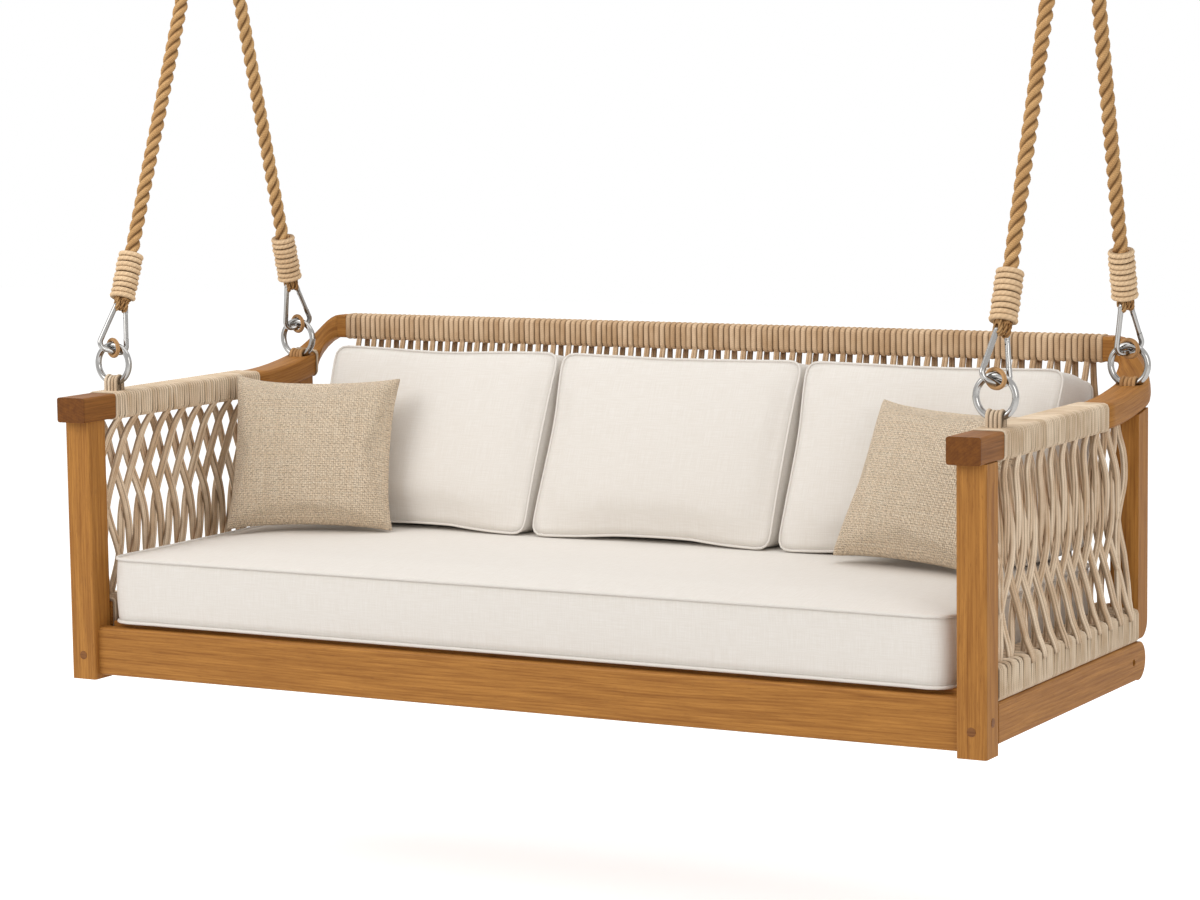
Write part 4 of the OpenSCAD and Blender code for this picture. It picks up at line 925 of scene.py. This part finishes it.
def plump(piece, pressure, cap, limit, frames=18, stiff=14.0, calm=0):
    """Fills a cushion: its cloth is blown up a little, and no point moves more than cap. calm
    evens out what the cloth did."""
    rest = np.array([v.co for v in piece.data.vertices])
    cloth = piece.modifiers.new("filling", "CLOTH")
    s = cloth.settings
    s.quality, s.mass = 5, 0.25
    s.tension_stiffness = s.compression_stiffness = stiff
    s.shear_stiffness, s.bending_stiffness = 5.0, 0.6
    s.use_pressure, s.uniform_pressure_force = True, pressure
    s.effector_weights.gravity = 0
    scene = bpy.context.scene
    scene.frame_start, scene.frame_end = 1, frames
    cloth.point_cache.frame_start, cloth.point_cache.frame_end = 1, frames
    for f in range(1, frames + 1):
        scene.frame_set(f)
    shown = piece.evaluated_get(bpy.context.evaluated_depsgraph_get())
    moved = np.array([v.co for v in shown.data.vertices])
    piece.modifiers.remove(cloth)
    scene.frame_set(1)
    shift = moved - rest
    ends = np.array([e.vertices[:] for e in piece.data.edges])
    near = np.bincount(ends.ravel(), minlength=len(rest))[:, None]
    for _ in range(calm):
        total = np.zeros_like(shift)
        np.add.at(total, ends[:, 0], shift[ends[:, 1]])
        np.add.at(total, ends[:, 1], shift[ends[:, 0]])
        shift = 0.5 * shift + 0.5 * total / near
    size = np.linalg.norm(shift, axis=1)[:, None]
    rest = rest + shift * np.minimum(1, cap / np.maximum(size, 1e-9))
    rest = limit(rest)
    piece.data.vertices.foreach_set("co", rest.astype(np.float32).ravel())
    piece.data.update()


weave_group, given, gives = new_group(
    "weave", {"UV": "Vector", "Pitch": "Float"},
    {"Threads": "Float", "Slub": "Float", "Broad": "Float", "Knots": "Float"})
threads_a_metre = given["Pitch"].math("DIVIDE", 1.0, given["Pitch"])
counted = vector_math("SCALE", given["UV"], scale=threads_a_metre)
wander = vector_math("SCALE", noise(counted, 0.09, 3, output="Color"), scale=1.6)
sway = vector_math("ADD", counted, wander)
uv = outputs(add(weave_group, "SeparateXYZ", {0: sway}))
warp, weft = ((uv[axis] * math.pi).of("SINE").of("ABSOLUTE") for axis in "XY")
check = add(weave_group, "TexChecker", {"Scale": 1.0, "Vector": sway}, "Fac")
slubs = [noise(scaled(counted, scale), 1.0, 3, 0.6)
         for scale in ((0.9, 0.035, 1), (0.035, 0.9, 1))]
feed(gives, {"Threads": warp * check + weft * (1.0 - check),
             "Slub": (slubs[0] + slubs[1]) * 0.5,
             "Broad": noise(counted, 0.012, 3),
             "Knots": noise(scaled(counted, (0.9, 1.5, 1)), 0.8, 2, 0.6)})


def cloth_material(name, light, dark, pitch, thread_shade, relief, depth, knots=0.0):
    """Woven cloth: threads of one pitch, slubs, and for a coarse yarn knots that stand out. Painted
    shade darkens where the threads dip and where the knotted yarn lies low.
    """
    material, tree, shader = new_material(name)
    weave = outputs(add(tree, "Group", {"UV": add(tree, "UVMap", {}, uv_map="UVMap"),
                                        "Pitch": pitch}, node_tree=weave_group))
    colour = blended(((weave["Slub"] - 0.42) * 2.2).clamped(), dark, light)
    # painted shade where the threads dip between their crossings
    colour = blended((1.0 - weave["Threads"]) * thread_shade, colour, shaded(dark, 0.62))
    colour = blended(weave["Broad"] * 0.10, colour, shaded(dark, 0.9))
    # painted shade where the knotted yarn lies low
    colour = blended(((0.56 - weave["Knots"]) * (4 * knots)).clamped(), colour,
                     shaded(dark, 0.55))
    height = weave["Threads"] + weave["Slub"] * 0.9 + weave["Knots"] * (2.5 * knots)
    feed(shader, {"Base Color": colour, "Roughness": 0.92, "Specular IOR Level": 0.15,
                  "Sheen Weight": 0.12, "Sheen Roughness": 0.5,
                  "Normal": bump(height, relief, depth)})
    return material


linen = cloth_material("linen_cloth", srgb(240, 236, 231), srgb(225, 218, 209), 0.0016, 0.16,
                       0.35, 0.0005)
burlap = cloth_material("burlap_cloth", srgb(255, 242, 220), srgb(238, 214, 184), 0.0048, 0.42,
                        1.0, 0.0024, 0.66)


def piping(name, piece, loops, r):
    """A filled cord sewn along the seams, from the cushion's own points."""
    centre = np.mean([v.co for v in piece.data.vertices], 0)
    tubes = []
    for loop, normal in loops:
        line = np.array([piece.data.vertices[k].co for k in loop])
        out = line - centre
        out -= (out @ normal)[:, None] * normal
        out /= np.linalg.norm(out, axis=1)[:, None]
        tubes.append(sweep(line + out * r * 0.3, section_round(r, 8), out, closed=True))
    made = cord_piece(name, tubes, linen, "bed")
    made.parent = piece
    made.matrix_parent_inverse = Matrix.Identity(4)


seat_w, seat_d, seat_front_y = 1.856, 0.734, 0.018
seat_z, seat_t, seat_crown = 0.1175, 0.128, 0.016
seat_mid_y = seat_front_y + seat_d / 2


def on_seat(x, y, t):
    up = seat_t * t if t <= 1 else seat_t + (t - 1) * seat_crown * 0.75
    return at(x, seat_mid_y + y, seat_z + up)


def seat_limit(points):
    low_z, front_y = feet.z + seat_z, feet.y + seat_front_y
    points[:, 2] = np.clip(points[:, 2], low_z, low_z + seat_t + seat_crown)
    points[:, 0] = np.clip(points[:, 0], -seat_w / 2, seat_w / 2)
    points[:, 1] = np.clip(points[:, 1], front_y, front_y + seat_d)
    return points


seat, seat_walls = cushion_mesh(
    "seat_cushion_cloth", seat_w - 0.004, seat_d - 0.004, 0.045, 0.003, 0.022, 7,
    lambda u, v: (1 - np.abs(u) ** 5) * (1 - np.abs(v) ** 3.2), on_seat)
plump(seat, 2.2, 0.008, seat_limit)
seat.data.materials.append(linen)
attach(seat, "bed")
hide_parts("seat_cushion")
piping("seat_cushion_piping", seat,
       [(seat_walls[0], (0, 0, 1)), (seat_walls[-1], (0, 0, -1))], 0.0035)

# ---- Back cushions ----
# Three loose wedges of the same linen, thicker at the foot, with piping along the front seam. They
# stand on the seat and lean on the lattice and the back rail.

seat_top = seat_z + seat_t + seat_crown
cushion_rest = 0.0015
back_z0 = seat_top + cushion_rest
back_w, back_h, foot_t, head_t, seam_drop = 0.558, 0.366, 0.255, 0.155, 0.034


def lattice_front(z):
    share = (z - panel_top) / (back_panel_high - panel_top)
    return low_back_y + (back_y - low_back_y) * share - cord - cushion_rest


foot_y = lattice_front(back_z0)
head_y = min(lattice_front(back_z0 + back_h), back_y - 0.020 - 0.003 - cushion_rest)
for k, name in enumerate(("left", "middle", "right")):
    x0 = 0.036 + (k - 1) * (back_w + 0.004)

    def on_wedge(x, y, t, x0=x0):
        f = (y + back_h / 2) / back_h
        back = foot_y + (head_y - foot_y) * f
        thick = foot_t + (head_t - foot_t) * f
        return at(x0 + x, back - thick * (t if t <= 1 else 1 + (t - 1) * 0.075),
                  back_z0 + (back_h - seam_drop * (1 - min(1, t))) * f)

    cushion, walls = cushion_mesh(
        f"{name}_back_cushion_cloth", back_w - 0.003, back_h - 0.002, 0.026, 0.005, 0.015, 9,
        lambda u, v: (1 - np.abs(u) ** 3) * (1 - np.abs(v) ** 2.6), on_wedge)

    def wedge_limit(points, x0=x0):
        points[:, 0] = np.clip(points[:, 0], x0 - back_w / 2, x0 + back_w / 2)
        points[:, 2] = np.clip(points[:, 2], feet.z + back_z0, feet.z + back_z0 + back_h + 0.004)
        f = (points[:, 2] - feet.z - back_z0) / back_h
        points[:, 1] = np.minimum(points[:, 1], feet.y + foot_y + (head_y - foot_y) * f)
        return points

    plump(cushion, 2.0, 0.014, wedge_limit, calm=24)
    cushion.data.materials.append(linen)
    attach(cushion, "bed")
    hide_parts(f"{name}_back_cushion")
    face = np.array((on_wedge(0, 0, 1) - on_wedge(0, 0, 0)).normalized())
    piping(f"{name}_back_cushion_piping", cushion, [(walls[0], face), (walls[-1], -face)], 0.0026)

# ---- Loose pillows ----
# Two square pillows of coarse open weave, each of two sheets sewn edge to edge and turned, so that
# the corners stand out and the sides pull in. They lean against the back cushions.

pillow_s, pillow_t, pillow_pull, pillow_n = 0.384, 0.112, 0.011, 34
pillow_h = 0.92 * pillow_s
panel_inner = arm_x - 0.033 - 0.003
pillow_floor = feet.z + seat_top - 0.008

# the flat sheets, and the cells of each; the back sheet shares the front one's edge
u, v = np.meshgrid(np.linspace(-1, 1, pillow_n), np.linspace(-1, 1, pillow_n))
x = u * (pillow_s / 2 - pillow_pull * (1 - v**2) * np.abs(u) ** 2)
y = v * (pillow_h / 2 - pillow_pull * (1 - u**2) * np.abs(v) ** 2)
thick = pillow_t / 2 * 0.86 * np.clip((1 - u**2) * (1 - v**2), 0, 1) ** 0.42
edge = set(rim(pillow_n, pillow_n))
inner = [k for k in range(pillow_n**2) if k not in edge]
back_of = {k: pillow_n**2 + i for i, k in enumerate(inner)}
sheets = [(k, 1) for k in range(pillow_n**2)] + [(k, -1) for k in inner]
flat = [(x.flat[k], y.flat[k]) for k, _ in sheets]
faces = []
for j in range(pillow_n - 1):
    for i in range(pillow_n - 1):
        a = j * pillow_n + i
        faces.append((a, a + 1, a + pillow_n + 1, a + pillow_n))
        faces.append(tuple(back_of.get(q, q) for q in (a, a + pillow_n, a + pillow_n + 1, a + 1)))


def pillow_limit(points):
    points[:, 2] = np.maximum(points[:, 2], pillow_floor)
    return points


# place across and ahead of the cushions' foot, then turn, lean and roll in degrees
pillow_places = (("left", 0.225 - panel_inner, 0.120, 18, 18, 0),
                 ("right", panel_inner - 0.272, 0.132, -13, 27, -2))
for name, px, ahead, turn, tilt, twist in pillow_places:
    foot_z = seat_top + pillow_s / 2 * math.sin(math.radians(abs(twist))) - 0.010
    stand = (Matrix.Translation(at(px, foot_y - foot_t - ahead, foot_z))
             @ Matrix.Rotation(math.radians(turn), 4, "Z")
             @ Matrix.Rotation(math.radians(90 - tilt), 4, "X")
             @ Matrix.Rotation(math.radians(twist), 4, "Z")
             @ Matrix.Translation((0, pillow_h / 2, 0)))
    points = [tuple(stand @ Vector((*flat[n], s * thick.flat[k])))
              for n, (k, s) in enumerate(sheets)]
    mesh = smooth_mesh(name + "_pillow_cloth", points, faces, [flat[q] for f in faces for q in f])
    pillow = add_object(name + "_pillow_cloth", mesh)
    plump(pillow, 3.0, 0.012, pillow_limit, frames=20, stiff=10.0)
    mesh.materials.append(burlap)
    smooth = pillow.modifiers.new("finer", "SUBSURF")
    smooth.levels = smooth.render_levels = 1
    bpy.context.view_layer.objects.active = pillow
    bpy.ops.object.modifier_apply(modifier=smooth.name)
    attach(pillow, "bed")
    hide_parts(name + "_pillow")

# ---- Floor, light and background ----
# A plain white floor under the hanging bed, soft light from above and from both sides, and white
# all round for the camera and in the metal.

floor_drop, floor_glow, world_light = 0.42, 0.60, 0.55
bpy.ops.mesh.primitive_plane_add(size=30, location=at(0, 0, -floor_drop))
floor = bpy.context.active_object
floor.name = "floor"


def background_rays(tree):
    """1 for what the camera, metal and glass see, and 0 for the light on the object."""
    rays = outputs(add(tree, "LightPath", {}))
    metal_or_glass = rays["Is Glossy Ray"].of("MAXIMUM", rays["Is Transmission Ray"])
    return rays["Is Camera Ray"].of("MAXIMUM", metal_or_glass)


paint, tree, shader = new_material("floor_white")
feed(shader, {"Base Color": (0.9, 0.9, 0.9), "Roughness": 1.0, "Specular IOR Level": 0.0})
glow = add(tree, "Emission", {"Color": (1, 1, 1), "Strength": background_rays(tree) * floor_glow})
both = add(tree, "AddShader", {0: Wire(tree, shader.outputs[0]), 1: glow})
feed(tree.nodes["Material Output"], {"Surface": both})
floor.data.materials.append(paint)

world = bpy.data.worlds.new("studio")
bpy.context.scene.world = world
world.use_nodes = True
tree = world.node_tree
feed(tree.nodes["Background"], {"Color": (1, 1, 1),
                                "Strength": background_rays(tree) * (1 - world_light) + world_light})
bpy.context.scene.view_settings.view_transform = "Standard"


def lamp(name, place, target, size, power):
    data = bpy.data.lights.new(name, "AREA")
    data.shape, data.size, data.size_y, data.energy = "RECTANGLE", size[0], size[1], power
    made = add_object(name, data)
    made.location = place
    made.rotation_euler = (target - place).to_track_quat("-Z", "Y").to_euler()


middle = at(0, 0.4, 0.4)
lamp("key", at(-2.6, -3.4, 3.4), middle, (3.6, 3.6), 130)
lamp("fill", at(4.0, -2.6, 1.8), middle, (2.2, 2.2), 45)
lamp("top", at(0, 0.6, 4.0), middle, (5.0, 4.0), 66)
